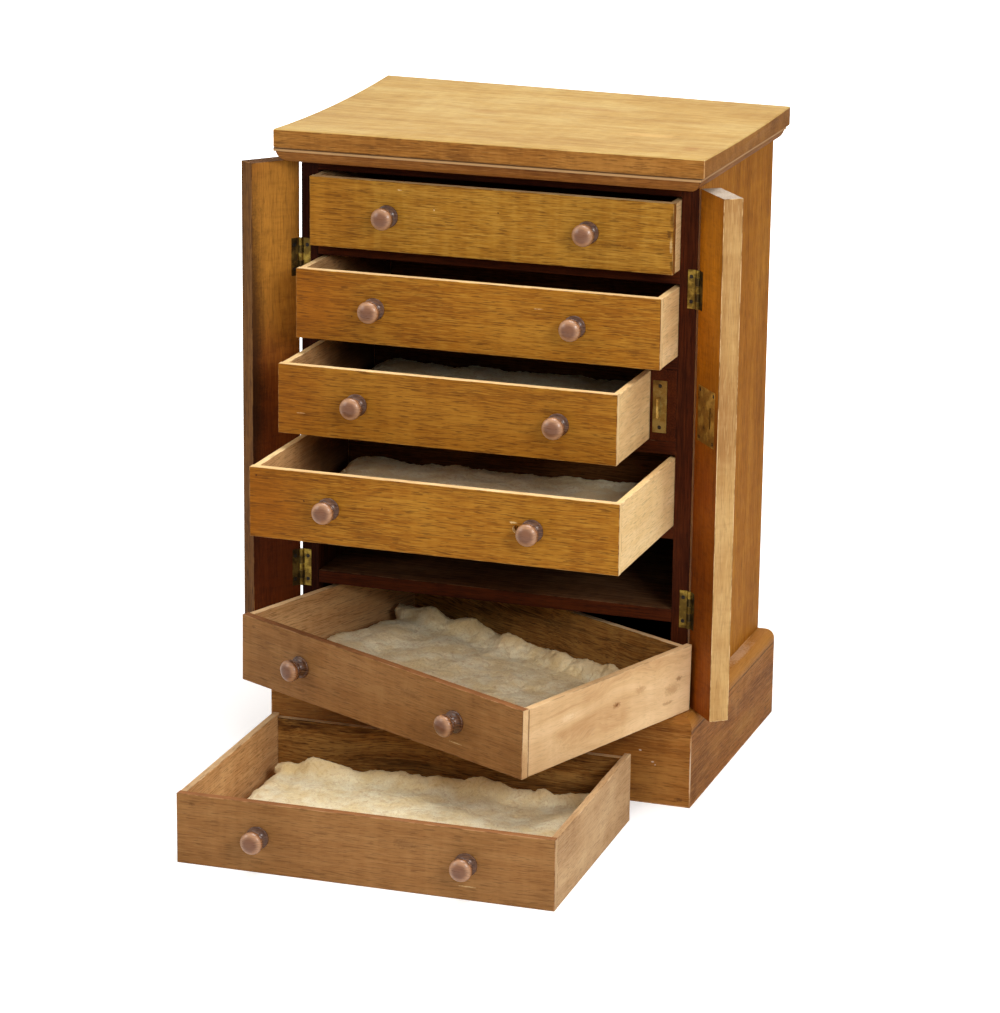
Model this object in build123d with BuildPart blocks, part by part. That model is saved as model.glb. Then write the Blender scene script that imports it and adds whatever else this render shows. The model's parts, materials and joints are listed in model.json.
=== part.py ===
from build123d import *
from math import cos, pi, radians, sin
import os

# A table-top collectors cabinet: a mahogany case of six shallow drawers, whose ends are
# locked in by two hinged stiles, here called flaps. X runs to the right, Y to the back and
# Z up. The origin is under the middle of the plinth's front board. Sizes are millimetres.

# Case boards
OPENING_WIDTH = 351.0
SIDE_THICK = 16.4
CASE_DEPTH = 256.0
BACK_THICK = 8.0
BACK_REBATE = 6.0
BOARD_THICK = 12.5
CASE_TOP_THICK = 13.1
RAIL_DEPTH = 45.0
HOUSING = 4.0
HOUSING_STOP = 14.0
SLOT_HEIGHT = 67.5
LOW_SLOT_HEIGHT = 79.5
KEEP_WIDTH = 25.2

# Top board and the moulding under it
TOP_THICK = 17.5
TOP_SIDE_REACH = 13.4
TOP_FRONT_REACH = 41.2
TOP_SHIFT = 2.1
TOP_CUP = 1.6
TOP_LIFT_LEFT = 5.0
TOP_LIFT_RIGHT = 1.0
TOP_STRIPS = 8
TOUCH = 0.001
TOP_CHAMFER = 1.0
MOULD_HEIGHT = 14.0
MOULD_FILLET = 3.6
MOULD_STEP = 1.6
MOULD_SIDE_REACH = 12.0
MOULD_FRONT_REACH = 39.6
MOULD_HOLLOW = 11.0
MOULD_BULGE = 2.0
MOULD_SAG = 1.0
MITRE_GAP = 0.1

# Plinth
PLINTH_HEIGHT = 86.0
PLINTH_THICK = 17.0
PLINTH_FRONT_REACH = 39.0
OVOLO = 9.0
LEDGE_THICK = 9.0

# Flaps: how far each stands open from closed, in degrees
FLAP_WIDTH = 51.0
FLAP_THICK = 18.5
FLAP_GAP = 1.5
FLAP_FOOT_GAP = 1.0
FLAP_HEAD_GAP = 2.5
RIGHT_OPEN = 129.0
LEFT_OPEN = 128.0

# Butt hinges
AXIS_OUT = 0.8
LEAF_HEIGHT = 36.0
LEAF_REACH = 9.6
LEAF_THICK = 1.0
KNUCKLE_RADIUS = 2.3
KNUCKLES = 5
KNUCKLE_GAP = 0.2
KNUCKLE_CLEAR = 0.5
PIN_RADIUS = 1.1
PIN_CLEAR = 0.06
HINGE_INSET = 74.5

# Screws. What is turned small has so many sides here: screws, pins and knuckles
SMALL_SIDES = 10
SCREW_HEAD_RADIUS = 1.9
SCREW_HEAD_DEPTH = 1.1
SCREW_RADIUS = 0.9
SCREW_LENGTH = 9.0
SCREW_SLOT = 0.45
SCREW_HOLE_CLEAR = 0.03
LEAF_SCREW_INSET = 6.5
LEAF_SCREW_REACH = 6.3

# Lock on the right flap and its keep on the case, measured from the hinge's axis and the plinth
LOCK_START = 6.0
LOCK_WIDTH = 38.0
LOCK_HEIGHT = 52.0
LOCK_RISE = 284.0
LOCK_PLATE_THICK = 1.5
LOCK_RIM = 2.5
LOCK_DEPTH = 9.4
LOCK_WALL = 1.2
SLOT_FROM_AXIS = 33.3
SLOT_WIDTH = 2.6
SLOT_LENGTH = 20.0
BOLT_LENGTH = 19.0
BOLT_HEIGHT = 6.0
BOLT_THICK = 2.6
BOLT_TIP_GAP = 0.4
BOLT_RUN = 0.3
RAIL_SHORT = 4.0
LOCK_SCREW_MARGIN = 1.0
KEYHOLE_FROM_AXIS = 22.0
KEYHOLE_RADIUS = 2.2
KEYHOLE_SLOT = 2.2
KEYHOLE_DROP = 7.0
ESCUTCHEON_RIM = 1.3
ESCUTCHEON_THICK = 2.0
KEEP_PLATE_WIDTH = 13.2
KEEP_PLATE_HEIGHT = 49.0
KEEP_PLATE_THICK = 1.2
KEEP_SCREW_INSET = 5.0
STAPLE_THICK = 1.6
STAPLE_HEIGHT = 18.0
STAPLE_REACH = 8.4
STAPLE_WALL = 1.8

# Drawers, with what each is pulled out by
SIDE_GAP = 0.5
RUN_GAP = 0.3
DRAWER_DEPTH = 236.0
DRAWER_HEIGHT = 65.3
PULLED = {1: 22.7, 2: 57.0, 3: 101.3, 4: 170.5}
FRONT_THICK = 8.0
WALL_THICK = 6.5
REAR_THICK = 6.0
REAR_DROP = 3.5
BASE_THICK = 3.5
GROOVE_RISE = 4.0
GROOVE_DEPTH = 3.0
GROOVE_CLEAR = 0.15
ARRIS = 0.8

# Turned knobs
KNOB_SPACING = 193.0
KNOB_SHIFT = -1.8
KNOB_Z = 33.0
KNOB_RADIUS = 10.2
KNOB_REACH = 20.8
SPIGOT_RADIUS = 4.0
SPIGOT_CLEAR = 0.05
KNOB_SIDES = 16

# The knob's turned shape from its foot to its crown: shares of its radius and of its reach
KNOB_SHAPE = (
    (1.02, 0.0),
    (1.0, 0.09),
    (0.6, 0.19),
    (0.46, 0.32),
    (0.66, 0.43),
    (0.93, 0.49),
    (0.94, 0.58),
    (1.0, 0.69),
    (0.97, 0.8),
    (0.74, 0.92),
    (0.3, 1.0),
)

# The hole that an earlier knob left in the front of drawer 4
OLD_HOLE_FROM_KNOB = 15.0
OLD_HOLE_RADIUS = 3.6
OLD_HOLE_DEPTH = 6.0

# Cotton wool beds in the lower four drawers
BEDDED = (3, 4, 5, 6)
BED_GAP = 0.4
BED_HEIGHT = 17.0
BED_CORNER = 9.0
BED_WIDEST = 0.35
BED_FOOT_INSET = 5.0
BED_CROWN_INSET = 46.0
BED_LEVELS = 7

# The wool of the lowest two is rolled up along the drawer's back
ROLLED = (5, 6)
ROLL_DEPTH = 36.0
ROLL_HEIGHT = 31.0
ROLL_GAP = 0.4
ROLL_SIDES = 12
ROLL_DRAW = 0.35
ROLL_BLUNT = 6

# The drawer that lies askew across the lowest opening, and the one on the floor
ASKEW_TURN = 22.7
ASKEW_GAP = 0.6
ASKEW_BACK_GAP = 3.0
ASKEW_RISE_TO_BACK = 0.0405
ASKEW_FALL_TO_RIGHT = 0.0234
FLOOR_DRAWER_X = -4.4
FLOOR_DRAWER_OUT = 328.0
FLOOR_DRAWER_TURN = 1.1

case_front = PLINTH_FRONT_REACH - PLINTH_THICK / 2
case_back = case_front + CASE_DEPTH
opening_half = OPENING_WIDTH / 2
case_half = opening_half + SIDE_THICK
plinth_shoulder = OVOLO - PLINTH_THICK / 2
back_face = case_back - BACK_THICK


def slot_floor(number):
    """Height of the board that drawer opening number stands on."""
    if number == 6:
        return PLINTH_HEIGHT
    fifth = PLINTH_HEIGHT + LOW_SLOT_HEIGHT + BOARD_THICK
    return fifth + (5 - number) * (SLOT_HEIGHT + BOARD_THICK)


opening_top = slot_floor(1) + SLOT_HEIGHT
case_height = opening_top + BOARD_THICK + CASE_TOP_THICK
flap_low = PLINTH_HEIGHT + FLAP_FOOT_GAP
flap_high = case_height - MOULD_HEIGHT - FLAP_HEAD_GAP
hinge_lows = (flap_low + HINGE_INSET, flap_high - HINGE_INSET - LEAF_HEIGHT)
axis_half = case_half + AXIS_OUT
axis_y = case_front - FLAP_GAP / 2
keep_x = axis_half - SLOT_FROM_AXIS
lock_z = PLINTH_HEIGHT + LOCK_RISE


def patch(first, second, mode=Mode.ADD):
    """A rectangle between two spans, in the sketch that is open."""
    middle = ((first[0] + first[1]) / 2, (second[0] + second[1]) / 2)
    with Locations(middle):
        Rectangle(first[1] - first[0], second[1] - second[0], mode=mode)


def save(piece, name):
    """Label a finished piece and write its file."""
    piece.part.label = name
    export_step(piece.part, f"parts/{name}.step")


def board(name, across, along, low, high):
    """A plain board between spans in X and Y, and two heights."""
    with BuildPart() as piece:
        with BuildSketch(Plane.XY.offset(low)):
            patch(across, along)
        extrude(amount=high - low)
    save(piece, name)


def hinge_plane(hand, opened):
    """A flap's own plane: its origin on the hinge's axis, X along the flap's width.

    hand is 1 on the right and -1 on the left. Y times hand points out of the flap's face."""
    turn = radians(opened)
    return Plane(
        origin=(hand * axis_half, axis_y, 0),
        x_dir=(-hand * cos(turn), -sin(turn), 0),
        z_dir=(0, 0, 1),
    )


def outward(hand, near, far):
    """A span away from the inner face, on a flap's plane."""
    return tuple(sorted((hand * near, hand * far)))


def screw_plane(plane, along, out, height, hand, sense):
    """A screw's place on a hinge plane: its Z points back along the screw, out of the face."""
    origin = plane.from_local_coords(Vector(along, hand * out, height))
    return Plane(origin=origin, x_dir=plane.x_dir, z_dir=plane.y_dir * (hand * sense))


def turned(levels, sides):
    """A turned form along Z with flat sides, from pairs of a corner radius and a rising height."""
    rings = [
        [Vector(radius * cos(2 * pi * step / sides), radius * sin(2 * pi * step / sides), height)
         for step in range(sides)]
        for radius, height in levels
    ]
    faces = [Face(Wire.make_polygon(rings[0][::-1])), Face(Wire.make_polygon(rings[-1]))]
    for low, high in zip(rings, rings[1:]):
        for step in range(sides):
            after = (step + 1) % sides
            faces.append(Face(Wire.make_polygon([low[step], low[after], high[after], high[step]])))
    return Solid(Shell(faces))


def screw_form(grow=0.0):
    """A countersunk screw whose head lies in the XY plane, with its point down."""
    levels = (
        (SCREW_RADIUS + grow, -SCREW_LENGTH - grow),
        (SCREW_RADIUS + grow, -SCREW_HEAD_DEPTH),
        (SCREW_HEAD_RADIUS + grow, 0),
    )
    with BuildPart() as screw:
        add(turned(levels, SMALL_SIDES))
        if grow == 0:
            with BuildSketch(Plane.XY):
                Rectangle(3 * SCREW_HEAD_RADIUS, SCREW_SLOT)
            extrude(amount=-SCREW_SLOT, mode=Mode.SUBTRACT)
    return screw.part


def leaf_screw_planes(hand, opened, sense):
    """The screws of one flap's two hinges: sense 1 in the flap's leaf, -1 in the case's."""
    plane = hinge_plane(hand, opened)
    heights = (LEAF_SCREW_INSET, LEAF_HEIGHT - LEAF_SCREW_INSET)
    return [
        screw_plane(plane, LEAF_SCREW_REACH, sense * FLAP_GAP / 2, low + height, hand, -sense)
        for low in hinge_lows
        for height in heights
    ]


def lock_screw_planes():
    """The four screws at the corners of the lock's plate."""
    plane = hinge_plane(1, RIGHT_OPEN)
    inset = (LOCK_RIM + LOCK_WALL + SCREW_HEAD_RADIUS) / 2 + LOCK_SCREW_MARGIN
    places = [LOCK_START + inset, LOCK_START + LOCK_WIDTH - inset]
    heights = [lock_z - LOCK_HEIGHT / 2 + inset, lock_z + LOCK_HEIGHT / 2 - inset]
    return [
        screw_plane(plane, place, FLAP_GAP / 2, height, 1, -1)
        for place in places
        for height in heights
    ]


def keep_screw_planes():
    """The two screws of the keep plate, in the front of the keep block."""
    reach = KEEP_PLATE_HEIGHT / 2 - KEEP_SCREW_INSET
    return [
        Plane(origin=(keep_x, case_front, lock_z + sign * reach), x_dir=(1, 0, 0), z_dir=(0, -1, 0))
        for sign in (-1, 1)
    ]


def side(hand):
    """A case side: rebated for the back, housed for the boards and let in for the hinges."""
    plane = hinge_plane(hand, 0)
    inner, outer = sorted((hand * opening_half, hand * case_half))
    rebate = sorted((hand * opening_half, hand * (opening_half + BACK_REBATE)))
    groove = sorted((hand * opening_half, hand * (opening_half + HOUSING)))
    boards = [slot_floor(number) - BOARD_THICK for number in range(1, 7)]
    holes = [place.location * screw_form(SCREW_HOLE_CLEAR) for place in leaf_screw_planes(hand, 0, -1)]
    with BuildPart() as piece:
        with BuildSketch(Plane.XY):
            patch((inner, outer), (case_front, case_back))
            patch(rebate, (back_face, case_back), mode=Mode.SUBTRACT)
        extrude(amount=case_height)
        for low in boards:
            with BuildSketch(Plane.XY.offset(low)):
                patch(groove, (case_front + HOUSING_STOP, back_face))
            extrude(amount=BOARD_THICK, mode=Mode.SUBTRACT)
        for low in hinge_lows:
            with BuildSketch(plane.offset(low)):
                patch((0, LEAF_REACH), outward(hand, -FLAP_GAP / 2 - LEAF_THICK, 0))
            extrude(amount=LEAF_HEIGHT, mode=Mode.SUBTRACT)
            with BuildSketch(plane.offset(low)):
                RegularPolygon(KNUCKLE_RADIUS + KNUCKLE_CLEAR, SMALL_SIDES)
            extrude(amount=LEAF_HEIGHT, mode=Mode.SUBTRACT)
        for hole in holes:
            add(hole, mode=Mode.SUBTRACT)
    save(piece, "side_left" if hand < 0 else "side_right")


def housed_board(name, low):
    """A board between the sides, its ends in stopped housings."""
    with BuildPart() as piece:
        with BuildSketch(Plane.XY.offset(low)):
            patch((-opening_half, opening_half), (case_front, back_face))
            reach = opening_half + HOUSING
            patch((-reach, reach), (case_front + HOUSING_STOP, back_face))
        extrude(amount=BOARD_THICK)
    save(piece, name)


def case_boards():
    """Everything between the two sides, from the bottom board to the case's own top."""
    housed_board("bottom_board", slot_floor(6) - BOARD_THICK)
    for number in range(1, 6):
        housed_board(f"dust_board_{number}", slot_floor(number) - BOARD_THICK)
    across = (-opening_half, opening_half)
    rail_top = opening_top + BOARD_THICK
    board("top_rail", across, (case_front, case_front + RAIL_DEPTH), opening_top, rail_top)
    board("case_top", across, (case_front, back_face), rail_top, case_height)
    reach = opening_half + BACK_REBATE
    board("back_panel", (-reach, reach), (back_face, case_back), 0, case_height)


def nearest(place, others):
    """The distance from a place to the nearest of some others."""
    return min(abs(place - other) for other in others)


def top_board():
    """The overhanging top, set a little to the right, hollowed and warped with age.

    Its upper side is hollow from front to back, and its back edge has lifted most on the left:
    a parabola from the front arris through TOP_CUP below it at the middle, in flat strips."""
    front = case_front - TOP_FRONT_REACH
    half = case_half + TOP_SIDE_REACH
    crown = case_height + TOP_THICK
    ends = (TOP_SHIFT - half, TOP_SHIFT + half)
    with BuildPart() as piece:
        for across, lift in zip(ends, (TOP_LIFT_LEFT, TOP_LIFT_RIGHT)):
            slope = -4 * TOP_CUP - lift
            shares = [strip / TOP_STRIPS for strip in range(TOP_STRIPS, -1, -1)]
            curve = [
                (front + share * (case_back - front), crown + share * (slope + share * (lift - slope)))
                for share in shares
            ]
            with BuildSketch(Plane.YZ.offset(across)):
                with BuildLine():
                    Polyline((front, case_height), (case_back, case_height), *curve, close=True)
                make_face()
        loft(ruled=True)
        rim = [
            edge for edge in piece.edges().filter_by(Axis.Z, reverse=True)
            if nearest(edge.center().X, ends) < TOUCH or nearest(edge.center().Y, (front, case_back)) < TOUCH
        ]
        chamfer(rim, length=TOP_CHAMFER)
    save(piece, "top_board")


def mitred(plan, low, high, section_plane, section, reach):
    """A strip: its section run past both ends, kept where it stands over its mitred plan."""
    with BuildPart(mode=Mode.PRIVATE) as stock:
        with BuildSketch(section_plane):
            with BuildLine():
                section()
            make_face()
        extrude(amount=reach, both=True)
    with BuildPart(mode=Mode.PRIVATE) as piece:
        with BuildSketch(Plane.XY.offset(low)):
            with BuildLine():
                Polyline(*plan, close=True)
            make_face()
        extrude(amount=high - low)
        add(stock.part, mode=Mode.INTERSECT)
    return piece.part


def moulding_section(outer, inner, sign):
    """A square fillet over a hollowed ovolo that dies back towards the case.

    outer and inner are places across the strip, and sign is 1 where outer is the larger."""
    low = case_height - MOULD_HEIGHT
    under_fillet = case_height - MOULD_FILLET
    root = outer - sign * MOULD_HOLLOW
    step = outer - sign * MOULD_STEP
    Polyline((root, low), (inner, low), (inner, case_height), (outer, case_height),
             (outer, under_fillet), (step, under_fillet))
    bulge = (step + root) / 2 + sign * MOULD_BULGE
    ThreePointArc((step, under_fillet), (bulge, (low + under_fillet) / 2 - MOULD_SAG), (root, low))


def top_moulding():
    """Front and side strips under the top board, mitred at the front corners."""
    low = case_height - MOULD_HEIGHT
    outer_x = case_half + MOULD_SIDE_REACH
    outer_y = case_front - MOULD_FRONT_REACH
    turn_y = outer_y + MOULD_SIDE_REACH
    front_half = case_half - MITRE_GAP
    front_plan = [(-outer_x, outer_y), (outer_x, outer_y), (front_half, turn_y),
                  (front_half, case_front), (-front_half, case_front), (-front_half, turn_y)]
    front = mitred(front_plan, low, case_height, Plane.YZ,
                   lambda: moulding_section(outer_y, case_front, -1), outer_x)
    sides = []
    for hand in (-1, 1):
        plan = [(hand * outer_x, outer_y + MITRE_GAP), (hand * outer_x, case_back),
                (hand * case_half, case_back), (hand * case_half, turn_y + MITRE_GAP)]
        sides.append(mitred(plan, low, case_height, Plane.XZ,
                            lambda: moulding_section(hand * outer_x, hand * case_half, hand),
                            2 * CASE_DEPTH))
    with BuildPart() as piece:
        add([front] + sides)
    save(piece, "top_moulding")


def plinth_section(outer, inner, sign):
    """A board on edge whose outer top arris is an ovolo."""
    Polyline((inner, PLINTH_HEIGHT), (inner, 0), (outer, 0), (outer, PLINTH_HEIGHT - OVOLO))
    shoulder = outer - sign * OVOLO
    drop = OVOLO * (1 - cos(radians(45)))
    ThreePointArc((outer, PLINTH_HEIGHT - OVOLO), (outer - sign * drop, PLINTH_HEIGHT - drop),
                  (shoulder, PLINTH_HEIGHT))
    Line((shoulder, PLINTH_HEIGHT), (inner, PLINTH_HEIGHT))


def plinth():
    """Three boards mitred at the front corners, and the ledge that fills in behind the front."""
    outer_x = case_half + PLINTH_THICK
    outer_y = case_front - PLINTH_FRONT_REACH
    inner_y = outer_y + PLINTH_THICK
    plan = [(-outer_x, outer_y), (outer_x, outer_y), (case_half, inner_y), (-case_half, inner_y)]
    with BuildPart() as front:
        add(mitred(plan, 0, PLINTH_HEIGHT, Plane.YZ,
                   lambda: plinth_section(outer_y, inner_y, -1), outer_x))
    save(front, "plinth_front")
    for hand, name in ((-1, "plinth_left"), (1, "plinth_right")):
        plan = [(hand * outer_x, outer_y), (hand * outer_x, case_back),
                (hand * case_half, case_back), (hand * case_half, inner_y)]
        with BuildPart() as piece:
            add(mitred(plan, 0, PLINTH_HEIGHT, Plane.XZ,
                       lambda: plinth_section(hand * outer_x, hand * case_half, hand),
                       2 * CASE_DEPTH))
        save(piece, name)
    board("plinth_ledge", (-case_half, case_half), (inner_y, case_front),
          PLINTH_HEIGHT - LEDGE_THICK, PLINTH_HEIGHT)


def leaves(name, hands, opened, sense):
    """Brass leaves with their knuckles: sense 1 on the flaps and -1 on the case.

    The case's leaves have the outer and middle knuckles, the flaps' the two between."""
    near, far = sense * FLAP_GAP / 2, sense * (FLAP_GAP / 2 + LEAF_THICK)
    root = KNUCKLE_RADIUS + KNUCKLE_CLEAR
    step = LEAF_HEIGHT / KNUCKLES
    first = 0 if sense < 0 else 1
    bore = PIN_RADIUS + PIN_CLEAR
    with BuildPart() as piece:
        for hand in hands:
            plane = hinge_plane(hand, opened)
            for low in hinge_lows:
                with BuildSketch(plane.offset(low)):
                    patch((root, LEAF_REACH), outward(hand, near, far))
                extrude(amount=LEAF_HEIGHT)
                for place in range(first, KNUCKLES, 2):
                    with BuildSketch(plane.offset(low + place * step + KNUCKLE_GAP / 2)):
                        RegularPolygon(KNUCKLE_RADIUS, SMALL_SIDES)
                        patch((0, root), outward(hand, near, far))
                        RegularPolygon(bore, SMALL_SIDES, major_radius=False, mode=Mode.SUBTRACT)
                    extrude(amount=step - KNUCKLE_GAP)
            for place in leaf_screw_planes(hand, opened, sense):
                add(place.location * screw_form(SCREW_HOLE_CLEAR), mode=Mode.SUBTRACT)
    save(piece, name)


def pins():
    """The four hinge pins."""
    with BuildPart() as piece:
        for hand in (-1, 1):
            for low in hinge_lows:
                with BuildSketch(hinge_plane(hand, 0).offset(low)):
                    RegularPolygon(PIN_RADIUS, SMALL_SIDES)
                extrude(amount=LEAF_HEIGHT)
    save(piece, "hinge_pins")


def screws(name, planes):
    """A set of countersunk screws in one file."""
    form = screw_form()
    with BuildPart() as piece:
        add([place.location * form for place in planes])
    save(piece, name)


def keyhole(grow):
    """A round hole over a narrow slot, in the sketch that is open."""
    RegularPolygon(KEYHOLE_RADIUS + grow, SMALL_SIDES)
    half = KEYHOLE_SLOT / 2 + grow
    patch((-half, half), (-KEYHOLE_DROP - grow, 0))


def keyhole_plane(out):
    """The keyhole's plane at a distance out from the flap's hinge plane."""
    plane = hinge_plane(1, RIGHT_OPEN)
    origin = plane.from_local_coords(Vector(KEYHOLE_FROM_AXIS, out, lock_z))
    return Plane(origin=origin, x_dir=-plane.x_dir, z_dir=plane.y_dir)


def flap(hand, opened):
    """A locking stile, let in for its hinges and, on the right, for the lock."""
    plane = hinge_plane(hand, opened)
    inner = FLAP_GAP / 2
    outer = inner + FLAP_THICK
    lock_low = lock_z - LOCK_HEIGHT / 2
    planes = leaf_screw_planes(hand, opened, 1) + (lock_screw_planes() if hand > 0 else [])
    holes = [place.location * screw_form(SCREW_HOLE_CLEAR) for place in planes]
    with BuildPart() as piece:
        with BuildSketch(plane.offset(flap_low)):
            patch((AXIS_OUT, AXIS_OUT + FLAP_WIDTH), outward(hand, inner, outer))
        extrude(amount=flap_high - flap_low)
        for low in hinge_lows:
            with BuildSketch(plane.offset(low)):
                patch((0, LEAF_REACH), outward(hand, 0, inner + LEAF_THICK))
            extrude(amount=LEAF_HEIGHT, mode=Mode.SUBTRACT)
            with BuildSketch(plane.offset(low)):
                RegularPolygon(KNUCKLE_RADIUS + KNUCKLE_CLEAR, SMALL_SIDES)
            extrude(amount=LEAF_HEIGHT, mode=Mode.SUBTRACT)
        if hand > 0:
            with BuildSketch(plane.offset(lock_low)):
                patch((LOCK_START, LOCK_START + LOCK_WIDTH), (inner, inner + LOCK_PLATE_THICK))
            extrude(amount=LOCK_HEIGHT, mode=Mode.SUBTRACT)
            with BuildSketch(plane.offset(lock_low + LOCK_RIM)):
                patch((LOCK_START + LOCK_RIM, LOCK_START + LOCK_WIDTH - LOCK_RIM),
                      (inner, inner + LOCK_DEPTH))
            extrude(amount=LOCK_HEIGHT - 2 * LOCK_RIM, mode=Mode.SUBTRACT)
            with BuildSketch(keyhole_plane(inner)):
                keyhole(0)
            extrude(amount=FLAP_THICK, mode=Mode.SUBTRACT)
            with BuildSketch(keyhole_plane(outer)):
                keyhole(ESCUTCHEON_RIM)
            extrude(amount=-ESCUTCHEON_THICK, mode=Mode.SUBTRACT)
        for hole in holes:
            add(hole, mode=Mode.SUBTRACT)
    save(piece, "flap_left" if hand < 0 else "flap_right")


def lock():
    """The lock: its plate and case, the sliding bolt inside and the key's escutcheon."""
    plane = hinge_plane(1, RIGHT_OPEN)
    inner = FLAP_GAP / 2
    plate_back = inner + LOCK_PLATE_THICK
    low = lock_z - LOCK_HEIGHT / 2
    body = (LOCK_START + LOCK_RIM, LOCK_START + LOCK_WIDTH - LOCK_RIM)
    hollow = (body[0] + LOCK_WALL, body[1] - LOCK_WALL)
    bolt_tip = SLOT_FROM_AXIS - SLOT_WIDTH / 2 - BOLT_TIP_GAP
    bolt_y = (plate_back + BOLT_RUN, plate_back + BOLT_RUN + BOLT_THICK)
    floor_y = bolt_y[1] + BOLT_RUN
    holes = [place.location * screw_form(SCREW_HOLE_CLEAR) for place in lock_screw_planes()]
    slot_half = SLOT_WIDTH / 2
    with BuildPart() as case:
        with BuildSketch(plane.offset(low)):
            patch((LOCK_START, LOCK_START + LOCK_WIDTH), (inner, plate_back))
        extrude(amount=LOCK_HEIGHT)
        with BuildSketch(plane.offset(low + LOCK_RIM)):
            patch(body, (plate_back, inner + LOCK_DEPTH))
        extrude(amount=LOCK_HEIGHT - 2 * LOCK_RIM)
        with BuildSketch(plane.offset(low + LOCK_RIM + LOCK_WALL)):
            patch(hollow, (plate_back, inner + LOCK_DEPTH - LOCK_WALL))
        extrude(amount=LOCK_HEIGHT - 2 * (LOCK_RIM + LOCK_WALL), mode=Mode.SUBTRACT)
        for sign in (-1, 1):
            rail_z = lock_z + sign * (BOLT_HEIGHT / 2 + BOLT_RUN + LOCK_WALL / 2) - LOCK_WALL / 2
            with BuildSketch(plane.offset(rail_z)):
                patch((hollow[0], bolt_tip - RAIL_SHORT), (plate_back, floor_y))
            extrude(amount=LOCK_WALL)
        with BuildSketch(plane.offset(lock_z - SLOT_LENGTH / 2)):
            patch((SLOT_FROM_AXIS - slot_half, SLOT_FROM_AXIS + slot_half), (inner, plate_back))
        extrude(amount=SLOT_LENGTH, mode=Mode.SUBTRACT)
        with BuildSketch(keyhole_plane(plate_back + LOCK_WALL)):
            keyhole(0)
        extrude(amount=LOCK_DEPTH, mode=Mode.SUBTRACT)
        for hole in holes:
            add(hole, mode=Mode.SUBTRACT)
    save(case, "lock_case")
    with BuildPart() as bolt:
        with BuildSketch(plane.offset(lock_z - BOLT_HEIGHT / 2)):
            patch((bolt_tip - BOLT_LENGTH, bolt_tip), bolt_y)
        extrude(amount=BOLT_HEIGHT)
    save(bolt, "lock_bolt")
    with BuildPart() as escutcheon:
        with BuildSketch(keyhole_plane(inner + FLAP_THICK)):
            keyhole(ESCUTCHEON_RIM)
        extrude(amount=-ESCUTCHEON_THICK)
        with BuildSketch(keyhole_plane(inner + FLAP_THICK)):
            keyhole(0)
        extrude(amount=-ESCUTCHEON_THICK, mode=Mode.SUBTRACT)
    save(escutcheon, "key_escutcheon")


def keep():
    """The block beside drawer 3, and the let-in plate whose staple the lock's bolt goes through."""
    holes = [place.location * screw_form(SCREW_HOLE_CLEAR) for place in keep_screw_planes()]
    plate_x = (keep_x - KEEP_PLATE_WIDTH / 2, keep_x + KEEP_PLATE_WIDTH / 2)
    plate_y = (case_front, case_front + KEEP_PLATE_THICK)
    plate_low = lock_z - KEEP_PLATE_HEIGHT / 2
    floor = slot_floor(3)
    with BuildPart() as block:
        with BuildSketch(Plane.XY.offset(floor)):
            patch((opening_half - KEEP_WIDTH, opening_half), (case_front, back_face))
        extrude(amount=SLOT_HEIGHT)
        with BuildSketch(Plane.XY.offset(plate_low)):
            patch(plate_x, plate_y)
        extrude(amount=KEEP_PLATE_HEIGHT, mode=Mode.SUBTRACT)
        for hole in holes:
            add(hole, mode=Mode.SUBTRACT)
    save(block, "keep_block")
    eye_half = BOLT_HEIGHT / 2 + BOLT_RUN
    with BuildPart() as plate:
        with BuildSketch(Plane.XY.offset(plate_low)):
            patch(plate_x, plate_y)
        extrude(amount=KEEP_PLATE_HEIGHT)
        with BuildSketch(Plane.YZ.offset(keep_x - STAPLE_THICK / 2)):
            patch((case_front - STAPLE_REACH, case_front),
                  (lock_z - STAPLE_HEIGHT / 2, lock_z + STAPLE_HEIGHT / 2))
            patch((case_front - STAPLE_REACH + STAPLE_WALL, case_front - FLAP_GAP),
                  (lock_z - eye_half, lock_z + eye_half), mode=Mode.SUBTRACT)
        extrude(amount=STAPLE_THICK)
        for hole in holes:
            add(hole, mode=Mode.SUBTRACT)
    save(plate, "keep_plate")


def askew_place():
    """The drawer wedged across the lowest opening, one back corner in and tipped to the front.

    Its left side leans on the left case side, and its back stands before the right one, so its
    back corner lies where lines at right angles through those two arrises meet. It rests on
    the plinth's top in front, and its back corner bears on the board above."""
    turn = radians(ASKEW_TURN)
    along = Vector(cos(turn), -sin(turn), 0)
    inward = Vector(sin(turn), cos(turn), 0)
    corner = Vector(-opening_half, case_front, 0) + inward * (OPENING_WIDTH * sin(turn))
    corner += along * ASKEW_GAP - inward * ASKEW_BACK_GAP
    middle = corner - inward * DRAWER_DEPTH + along * (opening_half - SIDE_GAP)
    rise = ASKEW_RISE_TO_BACK * (middle.Y - plinth_shoulder)
    fall = ASKEW_FALL_TO_RIGHT * (case_half - middle.X)
    height = PLINTH_HEIGHT + RUN_GAP + rise + fall
    slope = Vector(along.X, along.Y,
                   ASKEW_RISE_TO_BACK * along.Y - ASKEW_FALL_TO_RIGHT * along.X)
    return Plane(origin=(middle.X, middle.Y, height), x_dir=slope,
                 z_dir=(ASKEW_FALL_TO_RIGHT, -ASKEW_RISE_TO_BACK, 1))


def drawer_place(number):
    """A drawer's plane: its origin under the middle of its front face, Y to its back."""
    if number == 5:
        return askew_place()
    if number == 6:
        turn = radians(FLOOR_DRAWER_TURN)
        return Plane(origin=(FLOOR_DRAWER_X, case_front - FLOOR_DRAWER_OUT, 0),
                     x_dir=(cos(turn), sin(turn), 0), z_dir=(0, 0, 1))
    return Plane(origin=(0, case_front - PULLED[number], slot_floor(number) + RUN_GAP),
                 x_dir=(1, 0, 0), z_dir=(0, 0, 1))


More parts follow.
